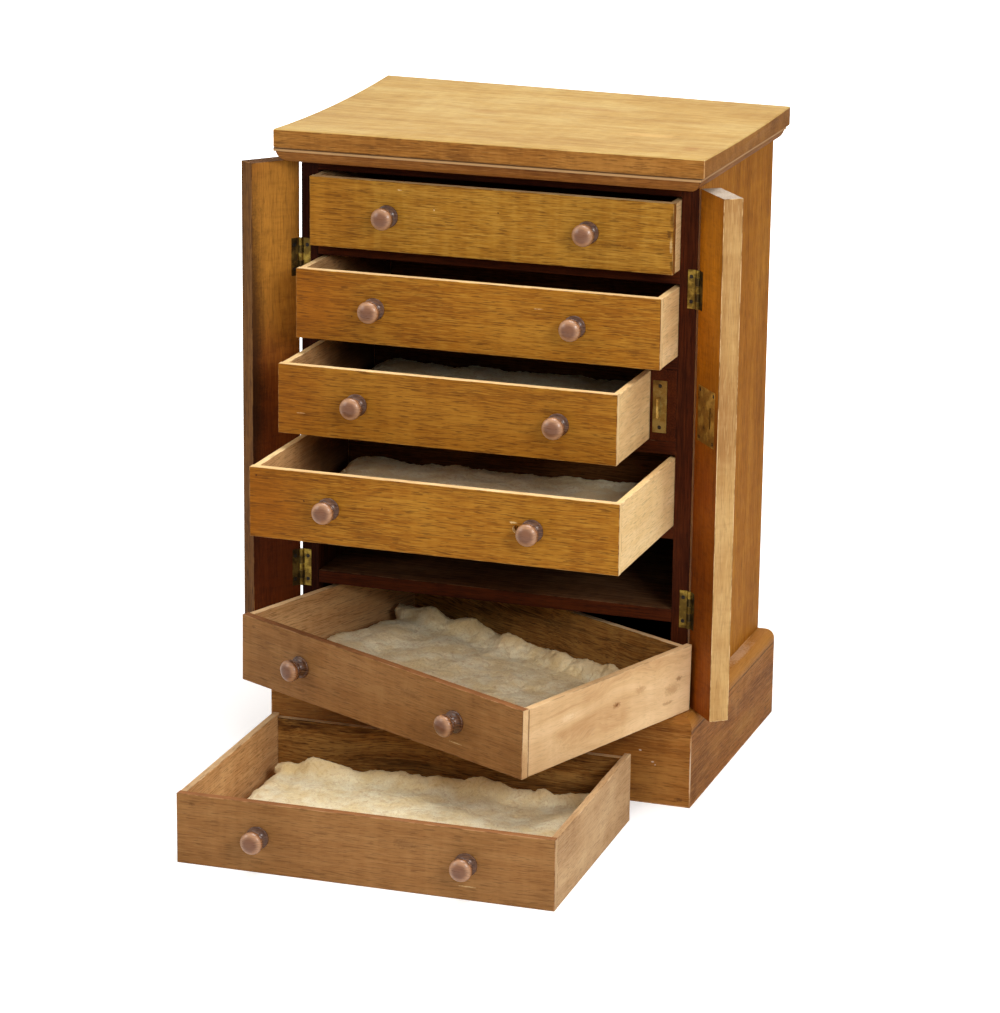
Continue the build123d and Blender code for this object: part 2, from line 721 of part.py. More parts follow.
def knob_planes(place):
    """The two knobs' places on a drawer's front: Z points out of it."""
    return [
        Plane(origin=place.from_local_coords(Vector(KNOB_SHIFT + sign * KNOB_SPACING / 2, 0, KNOB_Z)),
              x_dir=place.x_dir, z_dir=-place.y_dir)
        for sign in (-1, 1)
    ]


def knob_form():
    """A turned knob along Z: a spigot below, then flange, neck, bead, ring and domed head."""
    levels = [(SPIGOT_RADIUS, -FRONT_THICK), (SPIGOT_RADIUS, 0)]
    levels += [(across * KNOB_RADIUS, out * KNOB_REACH) for across, out in KNOB_SHAPE]
    return turned(levels, KNOB_SIDES)


def knobs(name, place):
    """The two knobs of one drawer."""
    form = knob_form()
    with BuildPart() as piece:
        add([plane.location * form for plane in knob_planes(place)])
    save(piece, name)


def drawer(number):
    """One drawer: grooved front and sides, a low back, the bottom in its grooves and knobs."""
    place = drawer_place(number)
    left = SIDE_GAP - opening_half
    right = -left - (KEEP_WIDTH if number == 3 else 0)
    groove_top = GROOVE_RISE + BASE_THICK + 2 * GROOVE_CLEAR
    groove_y = FRONT_THICK - GROOVE_DEPTH
    inner_left, inner_right = left + WALL_THICK, right - WALL_THICK
    groove_x = (inner_left - GROOVE_DEPTH, inner_right + GROOVE_DEPTH)
    hole_radius = SPIGOT_RADIUS + SPIGOT_CLEAR
    hole = turned(((hole_radius, -FRONT_THICK), (hole_radius, 0)), KNOB_SIDES)
    with BuildPart() as front:
        with BuildSketch(place):
            patch((left, right), (0, FRONT_THICK))
        extrude(amount=DRAWER_HEIGHT)
        with BuildSketch(place.offset(GROOVE_RISE)):
            patch(groove_x, (groove_y, FRONT_THICK))
        extrude(amount=groove_top - GROOVE_RISE, mode=Mode.SUBTRACT)
        for plane in knob_planes(place):
            add(plane.location * hole, mode=Mode.SUBTRACT)
        if number == 4:
            with BuildSketch(knob_planes(place)[1]):
                with Locations((-OLD_HOLE_FROM_KNOB, 0)):
                    RegularPolygon(OLD_HOLE_RADIUS, KNOB_SIDES)
            extrude(amount=-OLD_HOLE_DEPTH, mode=Mode.SUBTRACT)
        upright = place.z_dir
        heights = front.edges().group_by(lambda edge: round((edge.center() - place.origin).dot(upright), 3))
        arrises = heights[-1]
        fillet(arrises, radius=ARRIS)
    save(front, f"drawer_{number}_front")
    with BuildPart() as walls:
        with BuildSketch(place):
            patch((left, inner_left), (FRONT_THICK, DRAWER_DEPTH))
            patch((inner_right, right), (FRONT_THICK, DRAWER_DEPTH))
        extrude(amount=DRAWER_HEIGHT - ARRIS)
        with BuildSketch(place.offset(GROOVE_RISE)):
            patch(groove_x, (FRONT_THICK, DRAWER_DEPTH))
        extrude(amount=groove_top - GROOVE_RISE, mode=Mode.SUBTRACT)
        with BuildSketch(place.offset(groove_top)):
            patch((inner_left + GROOVE_CLEAR, inner_right - GROOVE_CLEAR),
                  (DRAWER_DEPTH - REAR_THICK, DRAWER_DEPTH))
        extrude(amount=DRAWER_HEIGHT - REAR_DROP - groove_top)
    save(walls, f"drawer_{number}_walls")
    with BuildPart() as base:
        with BuildSketch(place.offset(GROOVE_RISE + GROOVE_CLEAR)):
            patch((groove_x[0] + GROOVE_CLEAR, groove_x[1] - GROOVE_CLEAR),
                  (groove_y + GROOVE_CLEAR, DRAWER_DEPTH))
        extrude(amount=BASE_THICK)
    save(base, f"drawer_{number}_bottom")
    knobs(f"drawer_{number}_knobs", place)
    if number in BEDDED:
        floor = GROOVE_RISE + GROOVE_CLEAR + BASE_THICK + BED_GAP
        inside_x = (inner_left + BED_GAP, inner_right - BED_GAP)
        inside_y = (FRONT_THICK + BED_GAP, DRAWER_DEPTH - REAR_THICK - BED_GAP)
        bed(f"drawer_{number}_bed", place, inside_x, inside_y, floor, number in ROLLED)


def bed_inset(share):
    """How far the bed's side is drawn in, at a share of its height from foot to crown."""
    if share < BED_WIDEST:
        return BED_FOOT_INSET * (1 - share / BED_WIDEST) ** 2
    return BED_CROWN_INSET * ((share - BED_WIDEST) / (1 - BED_WIDEST)) ** 4


def bed(name, place, inside_x, inside_y, floor, rolled):
    """A wool bed: a low cushion, widest near its foot, with drawn-in sides and a crown.

    Where it is rolled, a full roll lies behind the cushion along the drawer's back."""
    back = inside_y[1] - (ROLL_DEPTH + ROLL_GAP if rolled else 0)
    middle = ((inside_x[0] + inside_x[1]) / 2, (inside_y[0] + back) / 2)
    size = (inside_x[1] - inside_x[0], back - inside_y[0])
    with BuildPart() as piece:
        for level in range(BED_LEVELS + 1):
            share = sin(radians(90 * level / BED_LEVELS))
            inset = bed_inset(share)
            with BuildSketch(place.offset(floor + share * BED_HEIGHT)) as section:
                with Locations(middle):
                    Rectangle(size[0] - 2 * inset, size[1] - 2 * inset)
                chamfer(section.vertices(), length=BED_CORNER)
        loft(ruled=True)
        if rolled:
            centre = (inside_y[1] - ROLL_DEPTH / 2, floor + ROLL_HEIGHT / 2)
            across = Plane(origin=place.origin, x_dir=place.y_dir, z_dir=place.x_dir)
            for share in range(-BED_LEVELS, BED_LEVELS + 1, 2):
                along = sin(radians(90 * share / BED_LEVELS))
                draw = 1 - ROLL_DRAW * abs(along) ** ROLL_BLUNT
                with BuildSketch(across.offset(middle[0] + along * size[0] / 2)):
                    with BuildLine():
                        Polyline(*roll_points(centre, draw), close=True)
                    make_face()
            loft(ruled=True)
    save(piece, name)


def roll_points(centre, draw):
    """The outline across the roll: an ellipse of ROLL_SIDES points, drawn in by a factor."""
    points = []
    for step in range(ROLL_SIDES):
        turn = radians(360 * (step + 0.5) / ROLL_SIDES)
        points.append((centre[0] + draw * ROLL_DEPTH / 2 * cos(turn),
                       centre[1] + draw * ROLL_HEIGHT / 2 * sin(turn)))
    return points


os.makedirs("parts", exist_ok=True)
for hand in (-1, 1):
    side(hand)
case_boards()
top_board()
top_moulding()
plinth()
keep()
leaves("case_hinge_leaves", (-1, 1), 0, -1)
pins()
case_planes = [place for hand in (-1, 1) for place in leaf_screw_planes(hand, 0, -1)]
screws("case_screws", case_planes + keep_screw_planes())
flap(-1, LEFT_OPEN)
leaves("flap_left_leaves", (-1,), LEFT_OPEN, 1)
screws("flap_left_screws", leaf_screw_planes(-1, LEFT_OPEN, 1))
flap(1, RIGHT_OPEN)
leaves("flap_right_leaves", (1,), RIGHT_OPEN, 1)
screws("flap_right_screws", leaf_screw_planes(1, RIGHT_OPEN, 1) + lock_screw_planes())
lock()
for number in range(1, 7):
    drawer(number)
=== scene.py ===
import json
from math import cos, pi, radians, sin

import bmesh
import bpy
import numpy as np
from mathutils import Matrix, Vector
from mathutils import noise as field


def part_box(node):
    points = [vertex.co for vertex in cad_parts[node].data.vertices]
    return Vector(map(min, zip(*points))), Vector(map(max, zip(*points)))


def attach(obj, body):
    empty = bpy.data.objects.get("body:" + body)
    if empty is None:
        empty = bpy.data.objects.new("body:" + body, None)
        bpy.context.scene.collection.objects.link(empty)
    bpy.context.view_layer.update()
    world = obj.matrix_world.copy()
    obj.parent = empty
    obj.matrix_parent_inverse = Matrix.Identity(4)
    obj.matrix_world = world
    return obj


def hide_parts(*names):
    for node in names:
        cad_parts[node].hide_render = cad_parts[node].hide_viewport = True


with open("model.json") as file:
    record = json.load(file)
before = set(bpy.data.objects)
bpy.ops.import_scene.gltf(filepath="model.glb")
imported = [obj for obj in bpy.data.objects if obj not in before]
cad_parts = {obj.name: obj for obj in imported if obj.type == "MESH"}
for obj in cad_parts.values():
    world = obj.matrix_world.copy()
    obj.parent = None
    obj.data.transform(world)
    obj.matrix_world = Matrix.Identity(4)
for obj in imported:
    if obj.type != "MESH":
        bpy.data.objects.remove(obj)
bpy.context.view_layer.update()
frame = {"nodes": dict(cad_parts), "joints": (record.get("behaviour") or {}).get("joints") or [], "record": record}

nodes = frame["nodes"]
bodies = {
    node: body
    for body, members in frame["record"]["behaviour"]["bodies"].items()
    for node in members
}

# The case is of mahogany boards, housed together and wax polished outside. Old arrises are rubbed
# pale and round, the inside is dark, and the dust boards are grey towards their fronts.


def rgb(red, green, blue):
    """A linear colour from its three screen values of 0 to 255."""
    screen = np.array([red, green, blue]) / 255
    linear = np.where(screen <= 0.04045, screen / 12.92, ((screen + 0.055) / 1.055) ** 2.4)
    return (*[float(channel) for channel in linear], 1.0)


def place_node(tree, kind, inputs=None, **settings):
    """A shader node. inputs gives each socket a value or another node's output."""
    node = tree.nodes.new(kind)
    for name, setting in settings.items():
        setattr(node, name, setting)
    for name, given in (inputs or {}).items():
        if isinstance(given, bpy.types.NodeSocket):
            tree.links.new(given, node.inputs[name])
        else:
            node.inputs[name].default_value = given
    return node


def reckon(tree, operation, *inputs):
    """The result of one Math node, kept between 0 and 1 where the operation's name ends in +."""
    clamp = operation.endswith("+")
    return place_node(tree, "ShaderNodeMath", dict(enumerate(inputs)),
                      operation=operation.rstrip("+"), use_clamp=clamp).outputs[0]


def vector(tree, operation, *inputs):
    """The vector result of one Vector Math node."""
    return place_node(tree, "ShaderNodeVectorMath", dict(enumerate(inputs)),
                      operation=operation).outputs[0]


def step(tree, given, low, high, out=1.0):
    """A smooth step from 0 at low to out at high."""
    return place_node(tree, "ShaderNodeMapRange", {0: given, 1: low, 2: high, 3: 0.0, 4: out},
                      interpolation_type="SMOOTHSTEP").outputs[0]


def tint(tree, share, first, second, blend="MIX"):
    """The mix of two colours."""
    return place_node(tree, "ShaderNodeMix", {0: share, 6: first, 7: second},
                      data_type="RGBA", blend_type=blend).outputs[2]


def noise(tree, place, stretch, detail=2.0, rough=0.5, distortion=0.0):
    """Noise whose cells are 1 / stretch metres long, on each axis of a place."""
    scaled = vector(tree, "MULTIPLY", place, stretch)
    return place_node(tree, "ShaderNodeTexNoise",
                      {"Vector": scaled, "Scale": 1.0, "Detail": detail, "Roughness": rough,
                       "Distortion": distortion})


def new_group(name, inputs, outputs):
    """A node group with named sockets: (its tree, the outputs of its input node, its output node)."""
    tree = bpy.data.node_groups.new(name, "ShaderNodeTree")
    for title, given in inputs.items():
        kind = "NodeSocketColor" if isinstance(given, tuple) else "NodeSocketFloat"
        tree.interface.new_socket(title, in_out="INPUT", socket_type=kind).default_value = given
    for title, kind in outputs.items():
        tree.interface.new_socket(title, in_out="OUTPUT", socket_type=kind)
    return tree, tree.nodes.new("NodeGroupInput").outputs, tree.nodes.new("NodeGroupOutput")


def build_edges_group():
    """The distance, in metres, from a board's nearest arris: the middle one of its three distances
    from the sides of its own box, because on a face the least of them is nought."""
    tree, _, out = new_group("Arris distance", {}, {"Distance": "NodeSocketFloat"})
    local = place_node(tree, "ShaderNodeAttribute", attribute_name="board").outputs["Vector"]
    half = place_node(tree, "ShaderNodeAttribute", attribute_name="half").outputs["Vector"]
    inside = vector(tree, "SUBTRACT", half, vector(tree, "ABSOLUTE", local))
    x, y, z = place_node(tree, "ShaderNodeSeparateXYZ", {0: inside}).outputs
    low = reckon(tree, "MINIMUM", x, y)
    high = reckon(tree, "MAXIMUM", x, y)
    tree.links.new(reckon(tree, "MAXIMUM", low, reckon(tree, "MINIMUM", high, z)), out.inputs[0])
    return tree


def build_wood_group():
    """Wood in a board's own coordinates, x along its grain: broad bands, fine streaks, dark dashes of
    open pores, pale flecks, figure across the grain, soft blotches, and arrises rubbed through."""
    tree, given, out = new_group(
        "Wood",
        {"Mid": (0.3, 0.15, 0.05, 1.0), "Pale": (0.5, 0.3, 0.1, 1.0), "Deep": (0.1, 0.04, 0.01, 1.0),
         "Pore": (0.05, 0.02, 0.01, 1.0), "Worn": (0.5, 0.35, 0.2, 1.0), "Bands": 0.5, "Streaks": 0.5,
         "Pores": 0.5, "Flecks": 0.3, "Ribbon": 0.1, "Crinkle": 0.1, "Blotches": 0.3, "Wave": 0.004,
         "Wear": 0.0015, "Rough": 0.4},
        {"Colour": "NodeSocketColor", "Roughness": "NodeSocketFloat", "Height": "NodeSocketFloat"},
    )
    local = place_node(tree, "ShaderNodeAttribute", attribute_name="board").outputs["Vector"]
    seed = place_node(tree, "ShaderNodeAttribute", attribute_name="seed").outputs["Vector"]
    place = vector(tree, "ADD", local, seed)
    drift = vector(tree, "SUBTRACT", noise(tree, place, (6, 14, 14), 2.0).outputs["Color"], (0.5, 0.5, 0.5))
    wave = place_node(tree, "ShaderNodeCombineXYZ", {1: given["Wave"], 2: given["Wave"]}).outputs[0]
    along = vector(tree, "ADD", place, vector(tree, "MULTIPLY", drift, wave))
    band = noise(tree, along, (2.5, 50, 50), 3.0, 0.6).outputs[0]
    streak = noise(tree, along, (26, 650, 650), 3.0, 0.6).outputs[0]
    pore = noise(tree, along, (75, 1200, 1200), 1.0, 0.5).outputs[0]
    fleck = noise(tree, vector(tree, "ADD", along, (3.1, 5.3, 7.7)), (65, 1000, 1000), 1.0, 0.5).outputs[0]
    ribbon = noise(tree, place, (75, 7, 7), 2.0).outputs[0]
    crinkle = noise(tree, place, (260, 70, 70), 2.0, 0.6).outputs[0]
    blotch = noise(tree, place, (9, 15, 15), 3.0, 0.55).outputs[0]
    dots = step(tree, pore, 0.57, 0.65)
    colour = given["Mid"]
    layers = (
        ("Bands", step(tree, band, 0.48, 0.68), "Pale"),
        ("Bands", step(tree, band, 0.5, 0.3), "Deep"),
        ("Blotches", step(tree, blotch, 0.5, 0.72), "Deep"),
        ("Blotches", step(tree, blotch, 0.5, 0.3), "Pale"),
        ("Ribbon", step(tree, ribbon, 0.4, 0.65), "Deep"),
        ("Ribbon", step(tree, ribbon, 0.5, 0.3), "Pale"),
        ("Crinkle", step(tree, crinkle, 0.46, 0.66), "Deep"),
        ("Streaks", step(tree, streak, 0.48, 0.66), "Deep"),
        ("Streaks", step(tree, streak, 0.5, 0.34), "Pale"),
        ("Flecks", step(tree, fleck, 0.57, 0.66), "Pale"),
        ("Pores", dots, "Pore"),
    )
    for strength, mask, tone in layers:
        colour = tint(tree, reckon(tree, "MULTIPLY", given[strength], mask), colour, given[tone])
    edge = place_node(tree, "ShaderNodeGroup", node_tree=arris_group).outputs[0]
    patchy = noise(tree, place, (45, 90, 90), 3.0, 0.7).outputs[0]
    reach = reckon(tree, "MULTIPLY", given["Wear"], reckon(tree, "MULTIPLY", patchy, 2.0))
    rubbed = reckon(tree, "SUBTRACT+", 1.0, reckon(tree, "DIVIDE", edge, reach))
    rubbed = reckon(tree, "MULTIPLY", step(tree, rubbed, 0.1, 0.7), step(tree, patchy, 0.4, 0.62))
    darkening = reckon(tree, "MULTIPLY", step(tree, edge, 0.0011, 0.0001, 0.6), step(tree, patchy, 0.56, 0.42))
    colour = tint(tree, darkening, colour, given["Pore"])
    tree.links.new(tint(tree, rubbed, colour, given["Worn"]), out.inputs["Colour"])
    gloss = reckon(tree, "ADD", given["Rough"], reckon(tree, "MULTIPLY", 0.25, streak))
    gloss = reckon(tree, "ADD", gloss, reckon(tree, "MULTIPLY", 0.15, blotch))
    gloss = reckon(tree, "ADD", gloss, reckon(tree, "MULTIPLY", 0.2, rubbed))
    tree.links.new(gloss, out.inputs["Roughness"])
    height = reckon(tree, "MULTIPLY", 0.6, streak)
    height = reckon(tree, "SUBTRACT", height, reckon(tree, "MULTIPLY", 0.6, dots))
    tree.links.new(reckon(tree, "ADD", height, reckon(tree, "MULTIPLY", 0.7, crinkle)), out.inputs["Height"])
    return tree


def build_mark_group():
    """An oval on a board, in its own coordinates: 1 in its middle and 0 outside. A small one has a
    ragged rim, a large one fades out softly."""
    tree, given, out = new_group("Mark", {"Along": 0.0, "Across": 0.0, "Length": 0.01, "Width": 0.01},
                                 {"Mask": "NodeSocketFloat"})
    local = place_node(tree, "ShaderNodeAttribute", attribute_name="board").outputs["Vector"]
    x, y, _ = place_node(tree, "ShaderNodeSeparateXYZ", {0: local}).outputs
    x = reckon(tree, "DIVIDE", reckon(tree, "SUBTRACT", x, given["Along"]), given["Length"])
    y = reckon(tree, "DIVIDE", reckon(tree, "SUBTRACT", y, given["Across"]), given["Width"])
    far = reckon(tree, "ADD", reckon(tree, "MULTIPLY", x, x), reckon(tree, "MULTIPLY", y, y))
    far = reckon(tree, "SQRT", far)
    small = reckon(tree, "MINIMUM", 2.0, reckon(tree, "DIVIDE", 0.01, given["Width"]))
    ragged = reckon(tree, "SUBTRACT", noise(tree, local, (500, 500, 500), 3.0, 0.6).outputs[0], 0.5)
    ragged = reckon(tree, "MULTIPLY", ragged, small)
    uneven = reckon(tree, "SUBTRACT", noise(tree, local, (22, 30, 30), 2.0).outputs[0], 0.5)
    far = reckon(tree, "ADD", reckon(tree, "ADD", far, ragged), reckon(tree, "MULTIPLY", 0.5, uneven))
    tree.links.new(step(tree, far, 1.1, 0.3), out.inputs["Mask"])
    return tree


arris_group = build_edges_group()
wood_group = build_wood_group()
mark_group = build_mark_group()


def new_material(name, **settings):
    """A material with an empty Principled shader: (material, tree, shader)."""
    material = bpy.data.materials.new(name)
    material.use_nodes = True
    tree = material.node_tree
    shader = tree.nodes["Principled BSDF"]
    for title, given in settings.items():
        shader.inputs[title.replace("_", " ")].default_value = given
    return material, tree, shader


WASH = 50.0
PORE_DEPTH = 0.0004


def wood(name, mid, pale, deep, worn, coat=0.0, shine=0.3, bump=0.4, marks=(), **strengths):
    """A wood material: the Wood group's colour, roughness and height, with a few marks of its own.

    Each mark is (along, across, half length, half width, strength, colour), in millimetres. One
    wider than WASH changes the wood's own tones, so that its grain still shows."""
    material, tree, shader = new_material(name, Coat_Weight=coat, Coat_Roughness=0.25, IOR=1.45,
                                          Specular_IOR_Level=shine)
    pore = tuple(channel * 0.45 for channel in deep[:3]) + (1.0,)
    inputs = {"Mid": mid, "Pale": pale, "Deep": deep, "Pore": pore, "Worn": worn}
    inputs.update({title.capitalize(): strength for title, strength in strengths.items()})
    group = place_node(tree, "ShaderNodeGroup", node_tree=wood_group)
    for title, given in inputs.items():
        group.inputs[title].default_value = given
    colour = group.outputs["Colour"]
    tones = {"Mid": (mid, 1.0), "Pale": (pale, 1.35), "Deep": (deep, 0.5)}
    for along, across, length, width, strength, shade in marks:
        mark = place_node(tree, "ShaderNodeGroup", node_tree=mark_group)
        for title, given in zip(("Along", "Across", "Length", "Width"), (along, across, length, width)):
            mark.inputs[title].default_value = given / 1000
        share = reckon(tree, "MULTIPLY", strength, mark.outputs[0])
        if width < WASH:
            colour = tint(tree, share, colour, shade)
            continue
        for title, (tone, factor) in tones.items():
            wash = tuple(channel * factor for channel in shade[:3]) + (1.0,)
            tones[title] = (tint(tree, share, tone, wash), factor)
            tree.links.new(tones[title][0], group.inputs[title])
    tree.links.new(colour, shader.inputs["Base Color"])
    tree.links.new(group.outputs["Roughness"], shader.inputs["Roughness"])
    relief = place_node(tree, "ShaderNodeBump", {"Height": group.outputs["Height"], "Distance": PORE_DEPTH,
                                                 "Strength": bump})
    tree.links.new(relief.outputs[0], shader.inputs["Normal"])
    return material


def islands(form):
    """The separate solids of a bmesh, as lists of its faces, in the order of their first faces."""
    left = dict.fromkeys(form.faces)
    while left:
        found = [next(iter(left))]
        del left[found[0]]
        for face in found:
            for edge in face.edges:
                for other in edge.link_faces:
                    if other in left:
                        del left[other]
                        found.append(other)
        yield found


upright = np.eye(3)
WELD = 2e-5
LONG_EDGE = 0.012


def boards(node, finishes, choose=None, axes=upright, arris=0.0006, flat=1.0):
    """Dresses a CAD node in its own wood: a merged copy with its long convex arrises rounded.

    Points nearer than WELD become one, and faces that turn less than flat degrees are joined.
    Edges shorter than LONG_EDGE stay sharp. axes holds the piece's right, back and up as rows.
    choose takes each face's normal and middle on those axes and gives the number of its finish.
    Each solid gets attributes for the wood: its own place from its middle, x along its longest
    side, half its size, and a seed of its own."""
    form = bmesh.new()
    form.from_mesh(nodes[node].data)
    bmesh.ops.remove_doubles(form, verts=form.verts, dist=WELD)
    bmesh.ops.dissolve_limit(form, angle_limit=radians(flat), verts=form.verts, edges=form.edges)
    long_edges = [
        edge for edge in form.edges
        if len(edge.link_faces) == 2 and edge.calc_length() > LONG_EDGE
        and edge.is_convex and edge.calc_face_angle() > radians(35)
    ]
    bmesh.ops.bevel(form, geom=long_edges, offset=arris, segments=2, profile=0.5, affect="EDGES",
                    clamp_overlap=True)
    bmesh.ops.remove_doubles(form, verts=form.verts, dist=1e-6)
    form.verts.index_update()
    owner = np.zeros(len(form.verts), int)
    for number, faces in enumerate(islands(form)):
        owner[[vert.index for face in faces for vert in face.verts]] = number
    mesh = bpy.data.meshes.new(node + "_dressed")
    form.to_mesh(mesh)
    form.free()
    points = np.zeros(len(mesh.vertices) * 3)
    mesh.vertices.foreach_get("co", points)
    places = points.reshape(-1, 3) @ axes.T
    local, half, seed = np.zeros_like(places), np.zeros_like(places), np.zeros_like(places)
    for number in range(owner.max() + 1):
        mine = owner == number
        low, high = places[mine].min(0), places[mine].max(0)
        order = np.argsort(low - high)
        local[mine] = (places[mine] - (low + high) / 2)[:, order]
        half[mine] = ((high - low) / 2)[order]
        seed[mine] = np.array([7.3, 3.1, 5.7]) * (sum(map(ord, node)) % 97 + 0.37 * number)
    for title, values in (("board", local), ("half", half), ("seed", seed)):
        mesh.attributes.new(title, "FLOAT_VECTOR", "POINT").data.foreach_set("vector", values.ravel())
    mesh.polygons.foreach_set("use_smooth", [True] * len(mesh.polygons))
    mesh.set_sharp_from_angle(angle=radians(18))
    for material in finishes:
        mesh.materials.append(material)
    if choose:
        normals = np.array([face.normal for face in mesh.polygons]) @ axes.T
        centres = np.array([face.center for face in mesh.polygons]) @ axes.T
        mesh.polygons.foreach_set("material_index", choose(normals, centres).astype(np.int32))
    piece = bpy.data.objects.new(node + "_dressed", mesh)
    bpy.context.scene.collection.objects.link(piece)
    nodes[node].data.materials.clear()
    nodes[node].data.materials.append(finishes[0])
    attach(piece, bodies[node])
    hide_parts(node)


outside = wood("case_outside", rgb(162, 99, 22), rgb(186, 126, 38), rgb(120, 66, 10), rgb(180, 126, 60),
               shine=0.08, bands=0.45, streaks=0.4, pores=0.5, flecks=0.4, crinkle=0.05, blotches=0.4,
               wear=0.0008, rough=0.45)
dark = wood("case_dark", rgb(66, 24, 4), rgb(90, 40, 10), rgb(36, 10, 2), rgb(96, 50, 18),
            shine=0.1, bands=0.4, streaks=0.4, pores=0.4, flecks=0.2, blotches=0.4, wear=0.0002, rough=0.5)
# Painted shade: a darker copy of the dark front-edge wood, for the left side's front edge.
dark_painted_shade = wood("case_dark_painted_shade", rgb(42, 12, 3), rgb(60, 22, 6), rgb(24, 6, 1), rgb(70, 34, 12),
              shine=0.08, bands=0.4, streaks=0.4, pores=0.4, flecks=0.2, blotches=0.4, wear=0.0002, rough=0.5)
within = wood("case_within", rgb(58, 26, 8), rgb(78, 40, 14), rgb(32, 12, 4), rgb(60, 30, 10),
              shine=0.08, bands=0.5, streaks=0.5, pores=0.5, blotches=0.5, wear=0.0002, rough=0.6)
dusty = wood("dust_board_top", rgb(84, 54, 30), rgb(116, 84, 54), rgb(48, 26, 12), rgb(140, 106, 74),
             shine=0.1, bands=0.5, streaks=0.5, pores=0.5, blotches=0.6, wear=0.001, rough=0.7)


def facing(normals, axis, sign, least=0.6):
    """True for the faces that look along an axis."""
    return normals[:, axis] * sign > least


# The left side's front edge takes the painted shade copy.
for hand, name in ((-1, "side_left"), (1, "side_right")):
    boards(name, [outside, dark_painted_shade if hand < 0 else dark, within],
           lambda n, c, hand=hand: np.where(facing(n, 0, -hand, 0.5), 2,
                                            np.where(facing(n, 1, -1, 0.2), 1, 0)))
boards("back_panel", [outside, within], lambda n, c: np.where(facing(n, 1, -1), 1, 0))
boards("bottom_board", [dark, within], lambda n, c: np.where(facing(n, 1, -1, 0.4), 0, 1))
boards("case_top", [within])
boards("top_rail", [dark])
boards("keep_block", [dark, within], lambda n, c: np.where(facing(n, 1, -1, 0.4), 0, 1))
for number in range(1, 6):
    boards(f"dust_board_{number}", [dark, dusty, within],
           lambda n, c: np.where(facing(n, 2, 1), 1, np.where(facing(n, 1, -1, 0.4), 0, 2)))

# The top is one wide board, honey brown where it is rubbed most, a little hollow along its middle
# with age. A moulding of the same wood is planted under it, mitred at the front corners.
top_finish = wood("top_polish", rgb(176, 140, 76), rgb(193, 165, 104), rgb(145, 104, 48), rgb(206, 178, 132),
                  bands=0.5, streaks=0.4, pores=0.3, flecks=0.35, crinkle=0.06, blotches=0.5, wear=0.0012,
                  rough=0.38, coat=0.03, shine=0.15,
                  marks=((-60, 20, 26, 9, 0.35, rgb(140, 86, 34)),
                         (120, -40, 30, 12, 0.3, rgb(226, 184, 116)),
                         (30, 66, 40, 7, 0.3, rgb(150, 94, 40)),
                         (178, -96, 9, 14, 0.35, rgb(140, 84, 36))))
edge_finish = wood("top_edge", rgb(144, 92, 34), rgb(170, 118, 54), rgb(92, 50, 14), rgb(196, 150, 98),
                   shine=0.15, bands=0.4, streaks=0.3, pores=0.45, flecks=0.45, crinkle=0.12, blotches=0.5,
                   wear=0.0008, rough=0.46)
moulding_finish = wood("moulding", rgb(134, 82, 33), rgb(160, 108, 52), rgb(84, 43, 13), rgb(190, 144, 94),
                       shine=0.12, bands=0.4, streaks=0.3, pores=0.4, flecks=0.4, crinkle=0.06, blotches=0.5,
                       wear=0.0008, rough=0.4)


def line_moulding(material, top):
    """Colours a moulding by how far a point lies under its top: a dark line right under the board,
    and a pale painted highlight below that."""
    tree = material.node_tree
    base = tree.nodes["Principled BSDF"].inputs["Base Color"]
    place = place_node(tree, "ShaderNodeTexCoord").outputs["Object"]
    height = place_node(tree, "ShaderNodeSeparateXYZ", {0: place}).outputs["Z"]
    under = reckon(tree, "SUBTRACT", top, height)
    colour = base.links[0].from_socket
    # Painted highlight: a pale band a few millimetres under the top.
    colour = tint(tree, step(tree, under, 0.0038, 0.0028, 0.6), colour, rgb(206, 166, 116))
    colour = tint(tree, step(tree, under, 0.0016, 0.001, 0.85), colour, rgb(52, 26, 8))
    tree.links.new(colour, base)


line_moulding(moulding_finish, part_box("top_moulding")[1][2])
boards("top_board", [top_finish, edge_finish], lambda n, c: np.where(facing(n, 2, 1, 0.5), 0, 1), flat=0.15)
boards("top_moulding", [moulding_finish], arris=0.0004)

# The plinth's three boards are mitred round the foot of the case, their top arris an ovolo, and
# knocked pale at the corners. A ledge fills in behind the front one.
chalky = rgb(214, 196, 172)
plinth_marks = (
    (159.8, 8.1, 1.6, 0.8, 0.9, chalky), (172, -2, 2.4, 0.7, 0.8, chalky),
    (174.6, -4.8, 1.0, 1.0, 0.8, chalky), (208.6, -6, 0.8, 30, 0.8, rgb(222, 206, 184)),
    (198, -36, 5, 2.2, 0.6, rgb(70, 40, 18)), (150, -30, 20, 6, 0.3, rgb(92, 54, 24)),
    # A pale strip along the ovolo, partly a painted highlight and partly rubbed wood.
    (0, 39, 3000, 8, 0.15, rgb(182, 124, 52)),
)
side_marks = (
    # The first mark is the pale strip along the ovolo, partly a painted highlight and partly rubbed wood.
    (0, 39, 3000, 8, 0.5, rgb(178, 120, 44)), (0, 30.6, 3000, 1.2, 0.6, rgb(64, 32, 10)),
    (-60, 43.4, 70, 0.9, 0.5, rgb(214, 190, 164)), (60, 43.4, 50, 0.9, 0.3, rgb(214, 190, 164)),
    (40, -20, 60, 12, 0.25, rgb(176, 128, 60)), (-60, -6, 40, 10, 0.25, rgb(170, 118, 54)),
)
plinth_look = dict(shine=0.15, bands=0.5, streaks=0.35, pores=0.45, flecks=0.4, crinkle=0.06, blotches=0.6,
                   wear=0.0016, rough=0.46)
for name in ("plinth_front", "plinth_left", "plinth_right"):
    marks = plinth_marks if name == "plinth_front" else side_marks
    finish = wood(name + "_polish", rgb(146, 90, 34), rgb(172, 118, 56), rgb(94, 50, 14), rgb(190, 144, 96),
                  marks=marks, **plinth_look)
    boards(name, [finish], arris=0.0009)
boards("plinth_ledge", [dark])
